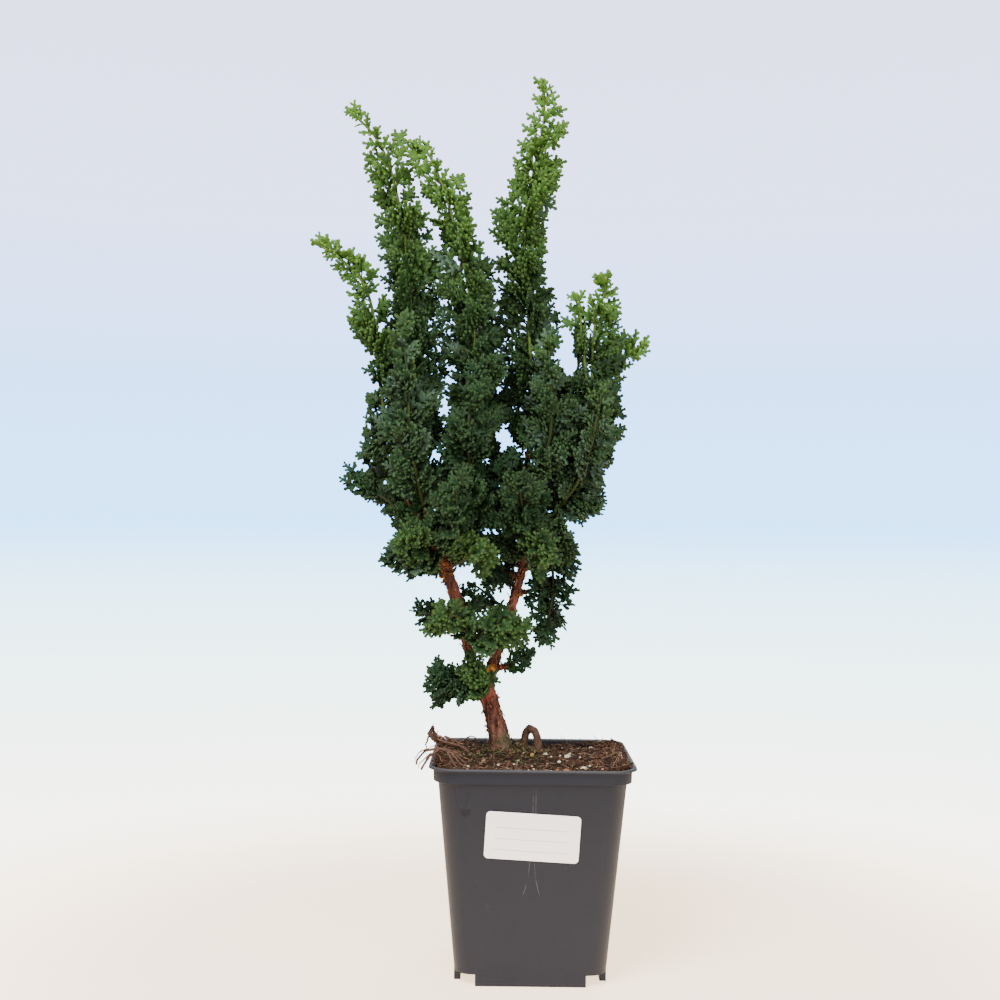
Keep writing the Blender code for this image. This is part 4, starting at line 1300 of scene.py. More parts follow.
# Fine roots: points, radius and tone, from dark at -1 to pale at 1
FINE_ROOTS = (
    (((-43.8, 8.5, 98), (-45.2, 8, 100.8), (-46, 7.6, 103), (-45.8, 7.6, 105)), 2.1, -0.9),
    (((-45, 7.5, 103), (-45.8, 7, 105.2), (-44.8, 6.4, 107)), 0.3, -1),
    (((-45.4, 7.5, 102), (-47.6, 6.5, 100.3), (-48.6, 5, 98), (-48, 4, 95)), 0.6, -1),
    (((-44, 9, 101), (-42.5, 6, 103.5), (-43.5, 4, 104.5)), 0.25, -0.5),
    (((-43.6, 8, 101.3), (-40, 8, 100.4), (-36, 7.5, 99.6), (-30.8, 7, 97.2)), 0.8, 0.7),
    (((-43, 8, 99.5), (-38, 4, 98.6), (-32, 0, 97.4), (-28, -2, 95.5)), 0.5, 0.4),
    (((-31, 10, 97.5), (-29, 10, 100.4), (-26, 10, 100.2), (-24, 10, 98)), 0.45, -1),
    (((-46, -12, 98), (-49.5, -13, 97), (-51.4, -14, 95.5), (-51.8, -15, 93)), 0.4, 0.6),
    (((-44, -24, 98), (-47, -25, 96), (-49.4, -26, 94), (-50, -26.5, 92)), 0.42, 0.5),
    (((-41, -14, 98.6), (-44, -8, 99), (-46.5, -6, 97.4), (-47.5, -5, 94)), 0.35, 0.4),
    (((-39, -22, 99.8), (-35, -25, 98), (-32, -29, 95.4), (-30, -31, 94)), 0.27, 0.8),
    (((-38, -20, 99.5), (-33, -19, 97.6), (-29, -20, 95.4), (-25, -21, 95)), 0.3, 0.7),
    (((-18, -2, 96), (-20.5, -3, 99), (-21, -4, 102), (-19.8, -5, 104)), 0.3, -1),
)


def fine_root(points, radius, dice):
    """A thin tapering tube on a smooth, slightly crooked curve."""
    sides = 7 if radius > 1 * MM else 5
    path = smooth_path(points_of(points), 1.6 * MM)
    path = [p + jitter(dice, 0.5 * radius) for p in path]
    count = len(path) - 1
    return tube_arrays(path, [radius * (1 - 0.6 * i / count) for i in range(count + 1)], sides)


def root_finish(looks):
    finish = Finish("root_skin", roughness=0.75, specular=0.3)
    streaks = finish.noise(500, 4)
    broad = finish.noise(140, 2)
    brown = finish.mix(finish.band(streaks, 0.3, 0.7), looks.root_dark, looks.root_brown)
    finish.colour(finish.mix(finish.band(broad, 0.5, 0.75) * 0.5, brown, looks.root_pale))
    finish.bump(streaks, 0.3 * MM, 0.7)
    return finish


def model_root(node, cell, relief, narrow, swell, lowest):
    """A copy of a root, drawn narrower and cut off below a height, with a finer, wrinkled skin."""
    root = merged_copy(node, node + "_bark")
    low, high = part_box(node)
    edit_whole(root)
    bpy.ops.transform.resize(value=(narrow, 1, 1), center_override=(low + high) / 2)
    bpy.ops.mesh.bisect(plane_co=(0, 0, lowest), plane_no=(0, 0, 1), use_fill=True, clear_inner=True)
    bpy.ops.object.mode_set(mode="OBJECT")
    apply_modifier(root, "REMESH", mode="VOXEL", voxel_size=cell)
    apply_modifier(root, "SMOOTH", factor=0.5, iterations=round(12 * swell / MM))
    apply_modifier(root, "DISPLACE", strength=swell, mid_level=0.0)
    roughen(root, "ORIGINAL_PERLIN", 3 * MM, relief * 2)
    roughen(root, "VORONOI_F2_F1", 0.9 * MM, relief, depth=1)
    select_only(root)
    bpy.ops.object.shade_smooth()
    return root


def model_fine_roots(looks):
    dice = random.Random(8)
    parts = []
    for points, radius, tone in FINE_ROOTS:
        tube = fine_root(points, radius * MM, dice)
        end = looks.root_pale if tone > 0 else looks.root_dark
        parts.append((*tube, Vector(looks.root_brown).lerp(Vector(end), abs(tone))))
    made = joined("fine_roots", parts)
    finish = Finish("fine_root_skin", roughness=0.75, specular=0.3)
    grain = finish.noise(700, 3)
    finish.colour(finish.speckled(grain, 0.3, 0.65, looks.root_dark))
    finish.bump(grain, 0.2 * MM, 0.6)
    return finish.cover(made)


# Potting mix

SOIL_HALF = 41.4 * MM
SOIL_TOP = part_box("soil")[0].z + 91 * MM
SOIL_CORNER = 9 * MM
SKIRT = 2.5 * MM


def model_soil(looks):
    """The top of the mix: a fine sheet let down on the node's top, then roughened, with a skirt round it."""
    shape = merged_copy("soil", "shape")
    deselect_all()
    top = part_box("soil")[1].z + 2 * MM
    bpy.ops.mesh.primitive_grid_add(x_subdivisions=looks.soil_cells, y_subdivisions=looks.soil_cells,
                                    size=2 * SOIL_HALF, location=(0, 0, top))
    soil = added("mix_surface")
    bpy.ops.object.transform_apply(location=True, rotation=True, scale=True)
    apply_modifier(soil, "SHRINKWRAP", target=shape, wrap_method="PROJECT", use_project_x=False,
                   use_project_y=False, use_project_z=True, use_negative_direction=True,
                   use_positive_direction=False)
    bpy.data.objects.remove(shape)
    select_faces(soil, lambda centre, normal: centre.z > top - 1 * MM or normal.z < 0.5)
    bpy.ops.mesh.delete(type="FACE")
    bpy.ops.object.mode_set(mode="OBJECT")
    apply_modifier(soil, "SMOOTH", factor=0.5, iterations=4, use_x=False, use_y=False)
    even = np.array([vertex.co.z for vertex in soil.data.vertices])
    roughen(soil, "ORIGINAL_PERLIN", 5 * MM, 3.2 * MM)
    roughen(soil, "VORONOI_F2_F1", 2.6 * MM, 1.9 * MM, depth=1)
    roughen(soil, "ORIGINAL_PERLIN", 1.2 * MM, 1.2 * MM)
    for vertex in soil.data.vertices:
        edge = max(abs(vertex.co.x), -vertex.co.y) / SOIL_HALF
        vertex.co.z += looks.edge_heap * max(0, (edge - 0.8) / 0.2)
        vertex.co.x = max(-SOIL_HALF, min(SOIL_HALF, vertex.co.x))
        vertex.co.y = max(-SOIL_HALF, min(SOIL_HALF, vertex.co.y))
    # How far roughening lifted each point, which paints shade into the hollows
    height_for_hollow_shade = np.array([vertex.co.z for vertex in soil.data.vertices]) - even
    set_attribute(soil, "height_for_hollow_shade", "FLOAT", height_for_hollow_shade / MM)
    bpy.ops.object.mode_set(mode="EDIT")
    bpy.ops.mesh.select_all(action="DESELECT")
    bpy.ops.mesh.select_mode(type="EDGE")
    bpy.ops.mesh.select_non_manifold(extend=False)
    bpy.ops.mesh.extrude_region_move(TRANSFORM_OT_translate={"value": (0, 0, -SKIRT)})
    bpy.ops.object.mode_set(mode="OBJECT")
    bpy.ops.object.shade_smooth()
    return peat_finish(looks).cover(soil)


def peat_finish(looks):
    """Dark peat with painted shade in the hollows, red crumbs on what stands high, and moss in places."""
    finish = Finish("mix_peat", roughness=0.95, specular=0.15)
    grain = finish.noise(700, 5)
    broad = finish.noise(110, 2)
    # painted shade: the hollows of the mix stay dark peat, the raised parts get red crumbs and moss
    high = finish.band(finish.attribute("height_for_hollow_shade"), -1.0, 1.1)
    peat = finish.mix(finish.band(grain, 0.3, 0.7) * high, looks.peat_dark, looks.peat_red)
    finish.colour(finish.mix(finish.band(broad, 0.52, 0.7) * high * 0.5, peat, looks.moss))
    finish.bump(grain, 0.8 * MM, 0.9)
    return finish


def model_lump(name, subdivisions, radius, shape, uneven, seed):
    """A round lump, drawn out to shape and with its corners pushed about, as points and triangles."""
    deselect_all()
    bpy.ops.mesh.primitive_ico_sphere_add(subdivisions=subdivisions, radius=radius)
    made = added(name)
    resized(made, shape)
    edit_whole(made)
    bpy.ops.transform.vertex_random(offset=uneven, seed=seed)
    bpy.ops.object.mode_set(mode="OBJECT")
    lump = arrays_of(made)
    bpy.data.objects.remove(made)
    return lump


# White grains that the photo shows, as their place on the mix and their size
GRAINS = ((6.5, 2.2, 1.2), (16.2, -4.4, 1.5), (12.2, -13.2, 0.9), (22.3, -32.2, 2.1), (29, 28, 1.3),
    (25, -26, 0.6), (-28, -30, 0.6), (-15, -24, 0.7), (30, -34, 0.6), (-8, -21, 0.6), (18, 6, 0.7),
    (3, -33, 0.6))

# A yellow scale, an orange splinter and a brown piece of bark: place on the mix, colour and scale
LARGE_BITS = (((0.3, -5.5), (0.62, 0.45, 0.09), (0.8, 1.0, 3.6)),
    ((12.9, -38), (0.6, 0.27, 0.07), (3.6, 0.9, 1.0)), ((32, -6), (0.20, 0.07, 0.035), (4.2, 1.5, 1.2)))

ARCH_FEET = (Vector((-4, 8, 92)) * MM, Vector((4.1, 3.3, 92)) * MM)
FLECK_SHADE = (0.45, 0.42, 0.40)

# Moss lies in these rounds of the mix, as middle and radius
MOSSY = ((TRUNK_FOOT + Vector((8, -9, 0)) * MM, 15 * MM), (Vector((-29, -8, 95)) * MM, 11 * MM))

# Along the walls more fibres stand up. Chips have spilled on the lip at the sides and the back
EDGE_FROM = 34 * MM
SPILL_HALF = 43.3 * MM
SPILL_CORNER = 10.3 * MM
SPILL_FRONT = 36 * MM
EVERY_SPILLED = 7


def in_round_square(x, y, half, corner):
    """Whether a place lies in a square with round corners."""
    return math.hypot(max(abs(x) - (half - corner), 0), max(abs(y) - (half - corner), 0)) < corner


def on_soil(x, y):
    """Whether a place lies on the mix, clear of the walls."""
    return in_round_square(x, y, SOIL_HALF - 0.4 * MM, SOIL_CORNER - 0.4 * MM)


class Litter:
    """What lies on the mix, gathered as points, triangles and a colour for each piece."""

    def __init__(self, soil, looks):
        self.ground = surface_of(soil)
        self.looks = looks
        self.dice = random.Random(21)
        self.chip = model_lump("chip", 1, 1, (1.25 * MM, 0.62 * MM, 0.32 * MM), 0.3 * MM, seed=4)
        self.grain = model_lump("grain", 2, 1 * MM, (1, 1, 1), 0.36 * MM, seed=9)
        self.parts = []

    def level(self, x, y):
        """The point of the mix below x and y, and its normal."""
        spot, normal, _, _ = self.ground.ray_cast(Vector((x, y, 120 * MM)), Vector((0, 0, -1)))
        return spot, normal

    def anywhere(self):
        while True:
            x, y = (self.dice.uniform(-SOIL_HALF, SOIL_HALF) for _ in range(2))
            if on_soil(x, y):
                spot, normal = self.level(x, y)
                if spot:
                    return spot, normal

    def on_rim(self):
        """A place on the lip, at the sides and the back."""
        while True:
            x, y = (self.dice.uniform(-SPILL_HALF, SPILL_HALF) for _ in range(2))
            if abs(x) > SOIL_HALF - 0.5 * MM and y > -SPILL_FRONT and not on_soil(x, y):
                if in_round_square(x, y, SPILL_HALF, SPILL_CORNER):
                    return Vector((x, y, POT_HEIGHT - 0.1 * MM)), Vector((0, 0, 1))

    def lay_chips(self):
        """Flat bits of bark, some of them dry and pale."""
        dice, looks = self.dice, self.looks
        points, triangles = self.chip
        for i in range(looks.chips):
            spot, normal = self.anywhere() if i % EVERY_SPILLED else self.on_rim()
            size = dice.uniform(0.5, 1.2) * (1.5 if dice.random() < 0.08 else 1)
            lean = (normal + jitter(dice, 0.35)).normalized()
            along = Matrix.Rotation(dice.uniform(0, 6.3), 3, lean) @ lean.orthogonal()
            placed = points @ np.array(frame_along(along.normalized(), lean)).T * size
            colour = Vector(looks.peat_dark).lerp(Vector(looks.peat_red), dice.random() ** 0.7)
            if dice.random() < 0.1:
                colour = Vector(looks.fibre_tan) * 0.7
            place = np.array(spot + lean * 0.25 * MM)
            self.parts.append((placed + place, triangles, colour * dice.uniform(0.6, 1.5)))

    def fibre_path(self, spot, normal, edge):
        """A wandering path that lies down, or stands up, more often along the walls."""
        dice = self.dice
        stand = dice.random() < (0.3 if edge else 0.06)
        ahead, aside = dice.gauss(0, 1), dice.gauss(0, 1)
        heading = Vector((ahead, aside, dice.uniform(0.6, 1.6) if stand else 0.12)).normalized()
        length = dice.uniform(1.6, 6.2 if stand else 4.6) * MM
        path = [spot + normal * dice.uniform(-0.1, 0.5) * MM]
        for _ in range(4):
            heading = (heading + jitter(dice, 0.42)).normalized()
            if not stand:
                heading.z *= 0.4
            path.append(path[-1] + heading * length / 4)
        inside = all(on_soil(p.x, p.y) for p in path) or stand
        return path if inside or (edge and spot.y > -EDGE_FROM and dice.random() < 0.6) else None

    def lay_fibres(self):
        dice, looks = self.dice, self.looks
        for _ in range(looks.fibres):
            spot, normal = self.anywhere()
            path = self.fibre_path(spot, normal, max(abs(spot.x), abs(spot.y)) > EDGE_FROM)
            if not path:
                continue
            for p in path:
                hit, _ = self.level(p.x, p.y)
                if hit and p.z < hit.z + 0.05 * MM:
                    p.z = hit.z + dice.uniform(0.05, 0.5) * MM
            thick = dice.uniform(0.1, 0.24) * MM
            tube = tube_arrays(path, [thick, thick, thick * 0.9, thick * 0.8, thick * 0.5], 3)
            mossy = any((spot - middle).length < radius for middle, radius in MOSSY)
            if mossy and dice.random() < 0.7:
                colour = Vector(looks.moss) * dice.uniform(0.8, 1.7)
            else:
                colour = Vector(looks.peat_red).lerp(Vector(looks.fibre_tan), dice.random() ** 1.6)
            self.parts.append((*tube, colour * dice.uniform(0.6, 1.3)))

    def lay_foot_moss(self):
        """Short moss and fibres heaped round the trunk's foot and both feet of the arched root."""
        dice, looks = self.dice, self.looks
        for _ in range(looks.foot_moss):
            turn = dice.uniform(0, 2 * math.pi)
            out = Vector((math.cos(turn), math.sin(turn), 0))
            if dice.random() < 0.3:
                foot = dice.choice(ARCH_FEET)
                away = dice.uniform(1.4, 4.5) * MM
                climb = 4.5 * MM - away
            else:
                foot = TRUNK_FOOT
                away = dice.uniform(5.6, 10.5 if turn > math.pi else 8) * MM
                climb = max(0, 8.5 * MM - away)
            spot, _ = self.level(*(foot + out * away).xy)
            start = (spot or foot) + Vector((0, 0, climb * dice.uniform(0, 1.2)))
            heading = (out + jitter(dice, 0.9) + Vector((0, 0, 0.5))).normalized()
            bent = (heading + jitter(dice, 0.6)).normalized()
            length = dice.uniform(0.7, 2.2) * MM
            path = [start, start + heading * length / 2, start + (heading + bent) * length / 2]
            thick = dice.uniform(0.16, 0.34) * MM
            tube = tube_arrays(path, [thick, thick, thick * 0.6], 3)
            colour = Vector(looks.moss) * dice.uniform(0.5, 1.6)
            if dice.random() >= 0.65:
                colour = Vector(looks.peat_red).lerp(Vector(looks.fibre_tan), dice.random())
            self.parts.append((*tube, colour))

    def lay_grains(self):
        """The white grains of the photo, and small ones anywhere."""
        dice, looks = self.dice, self.looks
        points, triangles = self.grain
        spots = [(x * MM, y * MM, size) for x, y, size in GRAINS]
        drawn = (self.anywhere() for _ in range(looks.grains))
        spots += [(spot.x, spot.y, dice.uniform(0.25, 0.6)) for spot, _ in drawn]
        for x, y, size in spots:
            spot, _ = self.level(x, y)
            placed = points @ np.array(random_turn(dice)).T * size
            placed[:, 2] *= 0.7
            place = np.array(spot + Vector((0, 0, 0.35 * size)) * MM)
            self.parts.append((placed + place, triangles, Vector(looks.perlite) * dice.uniform(0.7, 1.05)))

    def lay_large_bits(self):
        points, triangles = self.chip
        for (x, y), colour, scale in LARGE_BITS:
            spot, _ = self.level(x * MM, y * MM)
            place = np.array(spot + Vector((0, 0, 0.7)) * MM)
            self.parts.append((points * np.array(scale) + place, triangles, Vector(colour)))


def model_crumbs(soil, looks):
    """Bark chips, fibres and white grains that lie on the mix, and moss by the trunk."""
    litter = Litter(soil, looks)
    litter.lay_chips()
    litter.lay_fibres()
    litter.lay_foot_moss()
    litter.lay_grains()
    litter.lay_large_bits()
    made = joined("mix_crumbs", litter.parts)
    finish = Finish("mix_crumb", roughness=0.85, specular=0.25)
    fleck = finish.noise(1300, 3)
    dark = finish.mix(1.0, finish.attribute("tint", "Color"), FLECK_SHADE, "MULTIPLY")
    finish.colour(finish.speckled(fleck, 0.3, 0.6, dark))
    finish.bump(fleck, 0.2 * MM, 0.6)
    return finish.cover(made)


# Pot

POT_FOOT_HALF = 33.2 * MM
POT_TOP_HALF = 40.9 * MM
BAND_HALF = 43 * MM
LIP_HALF = 45 * MM
POT_WALL = 1.15 * MM
NOTCH_HEIGHT = 5 * MM
MOULD_LINE = 7.4 * MM
BAND_FOOT = 87.4 * MM
POT_HEIGHT = 95 * MM
FOOT_CORNER = 8.7 * MM
ARM_HALF = 23.9 * MM
SOLE_WALL = 2.9 * MM
DRAIN_PLACE = 25.8 * MM
DRAIN_RADIUS = 2.6 * MM
EDGE_ROUND = 0.32 * MM

# Steps of the wall from the mould line up: half the width at the top of each, and its height
POT_STEPS = ((POT_FOOT_HALF + 0.12 * MM, 0.12 * MM), (POT_TOP_HALF, BAND_FOOT - MOULD_LINE),
             (BAND_HALF - 0.15 * MM, 0.7 * MM), (BAND_HALF, 4.7 * MM), (BAND_HALF + 0.5 * MM, 0.55 * MM),
             (LIP_HALF, 0.3 * MM))


def draw_walls():
    """Draws the picked face up step by step, and leaves the pot open at the top."""
    half = POT_FOOT_HALF
    for wide, rise in POT_STEPS:
        bpy.ops.mesh.extrude_region_move(TRANSFORM_OT_translate={"value": (0, 0, rise)})
        bpy.ops.transform.resize(value=(wide / half, wide / half, 1))
        half = wide
    bpy.ops.mesh.delete(type="FACE")


def draw_soles(pot):
    """Draws a thin sole down along each side of the pot's floor, which leaves the four corners open."""
    inner = POT_FOOT_HALF - SOLE_WALL

    def under(centre, facing):
        return facing.z < -0.9 and centre.z < NOTCH_HEIGHT + 0.1 * MM

    def sole(centre, facing):
        along, out = sorted((abs(centre.x), abs(centre.y)))
        return under(centre, facing) and out > inner and along < ARM_HALF

    for normal in ((1, 0, 0), (0, 1, 0)):
        for place in (-inner, -ARM_HALF, ARM_HALF, inner):
            select_faces(pot, under)
            bpy.ops.mesh.bisect(plane_co=Vector(normal) * place, plane_no=normal)
    select_faces(pot, sole)
    bpy.ops.mesh.extrude_region_move(TRANSFORM_OT_translate={"value": (0, 0, -NOTCH_HEIGHT)})
    bpy.ops.object.mode_set(mode="OBJECT")


def drill_drains(pot):
    """Drills a round drain hole through each corner of the pot's floor."""
    for x in (-DRAIN_PLACE, DRAIN_PLACE):
        for y in (-DRAIN_PLACE, DRAIN_PLACE):
            deselect_all()
            bpy.ops.mesh.primitive_cylinder_add(vertices=20, radius=DRAIN_RADIUS, depth=6 * MM,
                                                location=(x, y, NOTCH_HEIGHT))
            drill = added("drill")
            apply_modifier(pot, "BOOLEAN", operation="DIFFERENCE", object=drill)
            bpy.data.objects.remove(drill)


def model_pot(looks):
    """The thin square pot: rounded corners, rim band, turned-out lip, four thin soles and drain holes."""
    deselect_all()
    low = MOULD_LINE - NOTCH_HEIGHT
    bpy.ops.mesh.primitive_cube_add(size=1, location=(0, 0, NOTCH_HEIGHT + low / 2),
                                    scale=(2 * POT_FOOT_HALF, 2 * POT_FOOT_HALF, low))
    pot = added("pot_shell")
    bpy.ops.object.transform_apply(location=True, rotation=True, scale=True)
    select_edges(pot, lambda a, b: abs(a.z - b.z) > low / 2)
    bpy.ops.mesh.bevel(offset=FOOT_CORNER, segments=8, affect="EDGES")
    bpy.ops.mesh.select_mode(type="FACE")
    select_faces(pot, lambda centre, normal: normal.z > 0.9)
    draw_walls()
    bpy.ops.mesh.select_all(action="SELECT")
    bpy.ops.mesh.remove_doubles(threshold=0.05 * MM)
    bpy.ops.object.mode_set(mode="OBJECT")
    apply_modifier(pot, "SOLIDIFY", thickness=POT_WALL, offset=-1, use_even_offset=False,
                   use_quality_normals=True)
    draw_soles(pot)
    drill_drains(pot)
    apply_modifier(pot, "BEVEL", width=EDGE_ROUND, segments=2, limit_method="ANGLE",
                   angle_limit=math.radians(34))
    bpy.ops.object.shade_smooth_by_angle(angle=math.radians(32))
    return pot_finish(looks).cover(pot)


# Marks on the front wall as x and height at both ends of each line: pale hairlines, the dark scrapes beside
# the label, and the blot that they run into
HAIRLINES = (((-1.0, 55), (-1.7, 46)), ((-1.7, 46.5), (-3.9, 39.5)), ((0.9, 55), (1.6, 46.5)),
    ((1.6, 47), (3.6, 39)), ((0.1, 86), (0.1, 75)), ((1.3, 86), (1.3, 75)))
SCRAPES = (((-33.6, 86.3), (-31.6, 75.5)), ((-27.1, 85.7), (-29.2, 75.5)))
BLOT = (((-30.3, 77.6), (-28.9, 73.2)), ((-27.2, 77.6), (-28.3, 73.2)))
HAIRLINE_WIDTH = 0.17 * MM
SCRAPE_WIDTH = 0.6 * MM
BLOT_WIDTH = 1.9 * MM
# Painted shade: the upper wall darkens from the lower to the upper of these heights
UPPER_SHADE_HEIGHTS = (55 * MM, 88 * MM)
RIM_EDGE = (93.4 * MM, 94.6 * MM)
FRONT = (-20 * MM, -10 * MM)


def drawn_lines(finish, lines, width, place):
    """1 along straight lines given by x and height at both ends."""
    across, height = place
    drawn = 0
    for (x0, z0), (x1, z1) in lines:
        slope = (x1 - x0) / (z1 - z0)
        away = finish.number("ABSOLUTE", across - (height - z0 * MM) * slope - x0 * MM)
        above = finish.band(height, (z0 - 1) * MM, z0 * MM)
        inside = finish.band(height, z1 * MM, (z1 + 2) * MM) * (1 - above)
        drawn = (1 - finish.band(away, 0.02 * MM, width)) * inside + drawn
    return drawn


def pot_finish(looks):
    """Mottled dusty plastic with a paler rim, painted shade darkening the upper wall, and marks on the front
    wall.
    """
    finish = Finish("pot_plastic_dusty")
    across, along, height = finish.split(finish.place())
    mottle = finish.noise(45, 4)
    fine = finish.noise(900, 3)
    streaks = finish.noise(260, 3, vector=finish.stretched((1, 1, 0.06)))
    # painted shade on the upper wall, below the band
    upper_shade = finish.band(height, *UPPER_SHADE_HEIGHTS) * 0.3
    grey = finish.mix(finish.clamped(mottle * 0.7 + streaks * 0.3 - upper_shade), looks.pot_dark, looks.pot_grey)
    dust = finish.band(finish.noise(150, 6, roughness=0.75), 0.62, 0.8)
    specks = 1 - finish.band(finish.cells(330), 0.02, 0.10)
    rim = finish.band(height, *RIM_EDGE)
    hairlines = drawn_lines(finish, HAIRLINES, HAIRLINE_WIDTH, (across, height))
    scrapes = drawn_lines(finish, SCRAPES, SCRAPE_WIDTH, (across, height)) * 0.4
    front = 1 - finish.band(along, *FRONT)
    blot = drawn_lines(finish, BLOT, BLOT_WIDTH, (across, height)) * (finish.noise(420, 3) + 0.3)
    grey = finish.mix(finish.clamped((scrapes + blot) * front), grey, 0.4 * Vector(looks.pot_dark))
    marks = hairlines * front * finish.band(finish.noise(130, 3), 0.3, 0.6) * 0.12
    pale = finish.clamped(dust * 0.06 + specks * dust * 0.5 + marks + rim * 0.07)
    finish.colour(finish.mix(pale, grey, looks.pot_dust))
    finish.roughness(finish.clamped(0.42 + mottle * 0.16 + dust * 0.25))
    finish.bump(fine * 0.3 + streaks * 0.5 + mottle * 2, 0.12 * MM, 0.35)
    return finish


# Label

LABEL_SIZE = (40.5 * MM, 20.5 * MM)
LABEL_CORNER = 1.8 * MM
LABEL_WALL = 0.2 * MM
LABEL_STANDOFF = 0.38 * MM
LABEL_HEIGHT = 65.4 * MM
LABEL_TURN = math.radians(-3)

# Write-on lines in millimetres from the card's middle: their heights, and how they fade at ends and sides
LABEL_LINES = (3.4, -1.4, -6.2)
LINE_ENDS = (15.9, 16.1)
LINE_SIDES = (0.06, 0.16)
PAPER_SHADE = (0.78, 0.76, 0.74)


def label_finish(looks):
    """White paper with thin grey lines, by the place on the flat card."""
    finish = Finish("label_white", roughness=0.42, specular=0.4)
    across, up, _ = finish.split(finish.attribute("card", "Vector"))
    inside = 1 - finish.band(finish.number("ABSOLUTE", across), *LINE_ENDS)
    ink = 0
    for line in LABEL_LINES:
        ink = (1 - finish.band(finish.number("ABSOLUTE", up - line), *LINE_SIDES)) * inside + ink
    paper = finish.mix(finish.band(finish.noise(160, 3), 0.35, 0.75) * 0.15, looks.paper, PAPER_SHADE)
    finish.colour(finish.mix(ink * 0.75, paper, looks.ink))
    finish.bump(finish.noise(420, 3), 0.05 * MM, 0.3)
    return finish


def model_label(looks):
    """A white card with round corners, stuck to the front wall, with bare write-on lines."""
    deselect_all()
    bpy.ops.mesh.primitive_plane_add(size=1)
    label = added("label_card")
    resized(label, (*LABEL_SIZE, 1))
    edit_whole(label)
    bpy.ops.mesh.bevel(offset=LABEL_CORNER, segments=8, affect="VERTICES")
    bpy.ops.mesh.select_all(action="SELECT")
    bpy.ops.mesh.inset(thickness=0.35 * MM)
    bpy.ops.transform.translate(value=(0, 0, 0.07 * MM))
    bpy.ops.object.mode_set(mode="OBJECT")
    apply_modifier(label, "SOLIDIFY", thickness=LABEL_WALL, offset=-1)
    flat = [value / MM for vertex in label.data.vertices for value in vertex.co]
    set_attribute(label, "card", "FLOAT_VECTOR", flat)
    lean = math.atan2(POT_TOP_HALF - POT_FOOT_HALF, BAND_FOOT - NOTCH_HEIGHT)
    wall = POT_FOOT_HALF + (LABEL_HEIGHT - NOTCH_HEIGHT) * math.tan(lean)
    stand = Matrix.Rotation(math.pi / 2 + lean, 4, "X") @ Matrix.Rotation(LABEL_TURN, 4, "Z")
    off = Matrix.Translation((0, 0, LABEL_STANDOFF))
    label.data.transform(Matrix.Translation((0, -wall, LABEL_HEIGHT)) @ stand @ off)
    bpy.ops.object.shade_smooth_by_angle(angle=math.radians(30))
    return label_finish(looks).cover(label)


# Sizes and colours

def colour_property(name, description, colour):
    return bpy.props.FloatVectorProperty(name=name, description=description, subtype="COLOR", default=colour)


def length_property(name, description, length):
    return bpy.props.FloatProperty(name=name, description=description, unit="LENGTH", default=length)


def count_property(name, description, count):
    return bpy.props.IntProperty(name=name, description=description, default=count)


class FoliageLooks(bpy.types.PropertyGroup):
    frond_step: length_property("Frond step", "Length of stem for each branchlet", 3.1 * MM)
    young_green: colour_property("Young green", "Green of the youngest sprigs", (0.045, 0.135, 0.013))
    tip_green: colour_property("Tip green", "Yellow green of lobe ends", (0.165, 0.27, 0.036))
    mature_green: colour_property("Mature green", "Green of grown sprigs", (0.0085, 0.036, 0.0115))
    shade_green: colour_property("Shade green", "Green of old sprigs", (0.0028, 0.0125, 0.006))
    bloom_grey: colour_property("Bloom grey", "Waxy bloom underneath", (0.085, 0.135, 0.105))
    young_stem: colour_property("Young stem", "Green stems", (0.10, 0.15, 0.022))
    old_stem: colour_property("Old stem", "Brown stems", (0.016, 0.019, 0.0065))


class BarkLooks(bpy.types.PropertyGroup):
    bark_cell: length_property("Bark cell", "Size of the cells of the bark's mesh", 0.74 * MM)
    flakes: count_property("Flakes", "Curling strips of bark on the trunk and limbs", 780)
    dead_sprigs: count_property("Dead sprigs", "Brown sprigs in each old tuft", 6)
    bark_red: colour_property("Bark red", "Red brown of fresh bark", (0.36, 0.11, 0.06))
    # Bark dark also gives the painted shade of the crown on the limbs
    bark_dark: colour_property("Bark dark", "Brown in the cracks", (0.045, 0.016, 0.010))
    bark_pale: colour_property("Bark pale", "Grey brown of weathered bark", (0.165, 0.118, 0.086))
    scar_orange: colour_property("Scar orange", "Orange of the scar at the fork", (0.62, 0.22, 0.03))
    dead_orange: colour_property("Dead orange", "Orange brown of dead sprigs", (0.42, 0.15, 0.03))
    moss: colour_property("Moss", "Dull green on the trunk's foot", (0.055, 0.062, 0.026))


class RootLooks(bpy.types.PropertyGroup):
    root_brown: colour_property("Root brown", "Brown of the root's skin", (0.108, 0.056, 0.032))
    root_dark: colour_property("Root dark", "Brown in its wrinkles", (0.05, 0.025, 0.015))
    root_pale: colour_property("Root pale", "Reddish tan where it is thin", (0.36, 0.17, 0.10))


class SoilLooks(bpy.types.PropertyGroup):
    soil_cells: count_property("Soil cells", "Cells of the mix's surface along a side", 130)
    edge_heap: length_property("Edge heap", "How much higher the mix lies along the walls", 0.9 * MM)
    chips: count_property("Chips", "Bark chips on the mix", 1280)
    fibres: count_property("Fibres", "Fibres on the mix", 1360)
    grains: count_property("Grains", "Small white grains on the mix", 60)
    foot_moss: count_property("Foot moss", "Moss and fibres round the trunk's foot and the root arch", 560)
    # Peat dark is also the painted shade in the hollows of the mix
    peat_dark: colour_property("Peat dark", "Darkest peat", (0.014, 0.007, 0.004))
    peat_red: colour_property("Peat red", "Reddish brown peat", (0.10, 0.037, 0.020))
    fibre_tan: colour_property("Fibre tan", "Dry fibres", (0.34, 0.22, 0.125))
    perlite: colour_property("Perlite", "White grains", (0.80, 0.73, 0.54))
    moss: colour_property("Moss", "Dull green on the mix", (0.095, 0.098, 0.036))


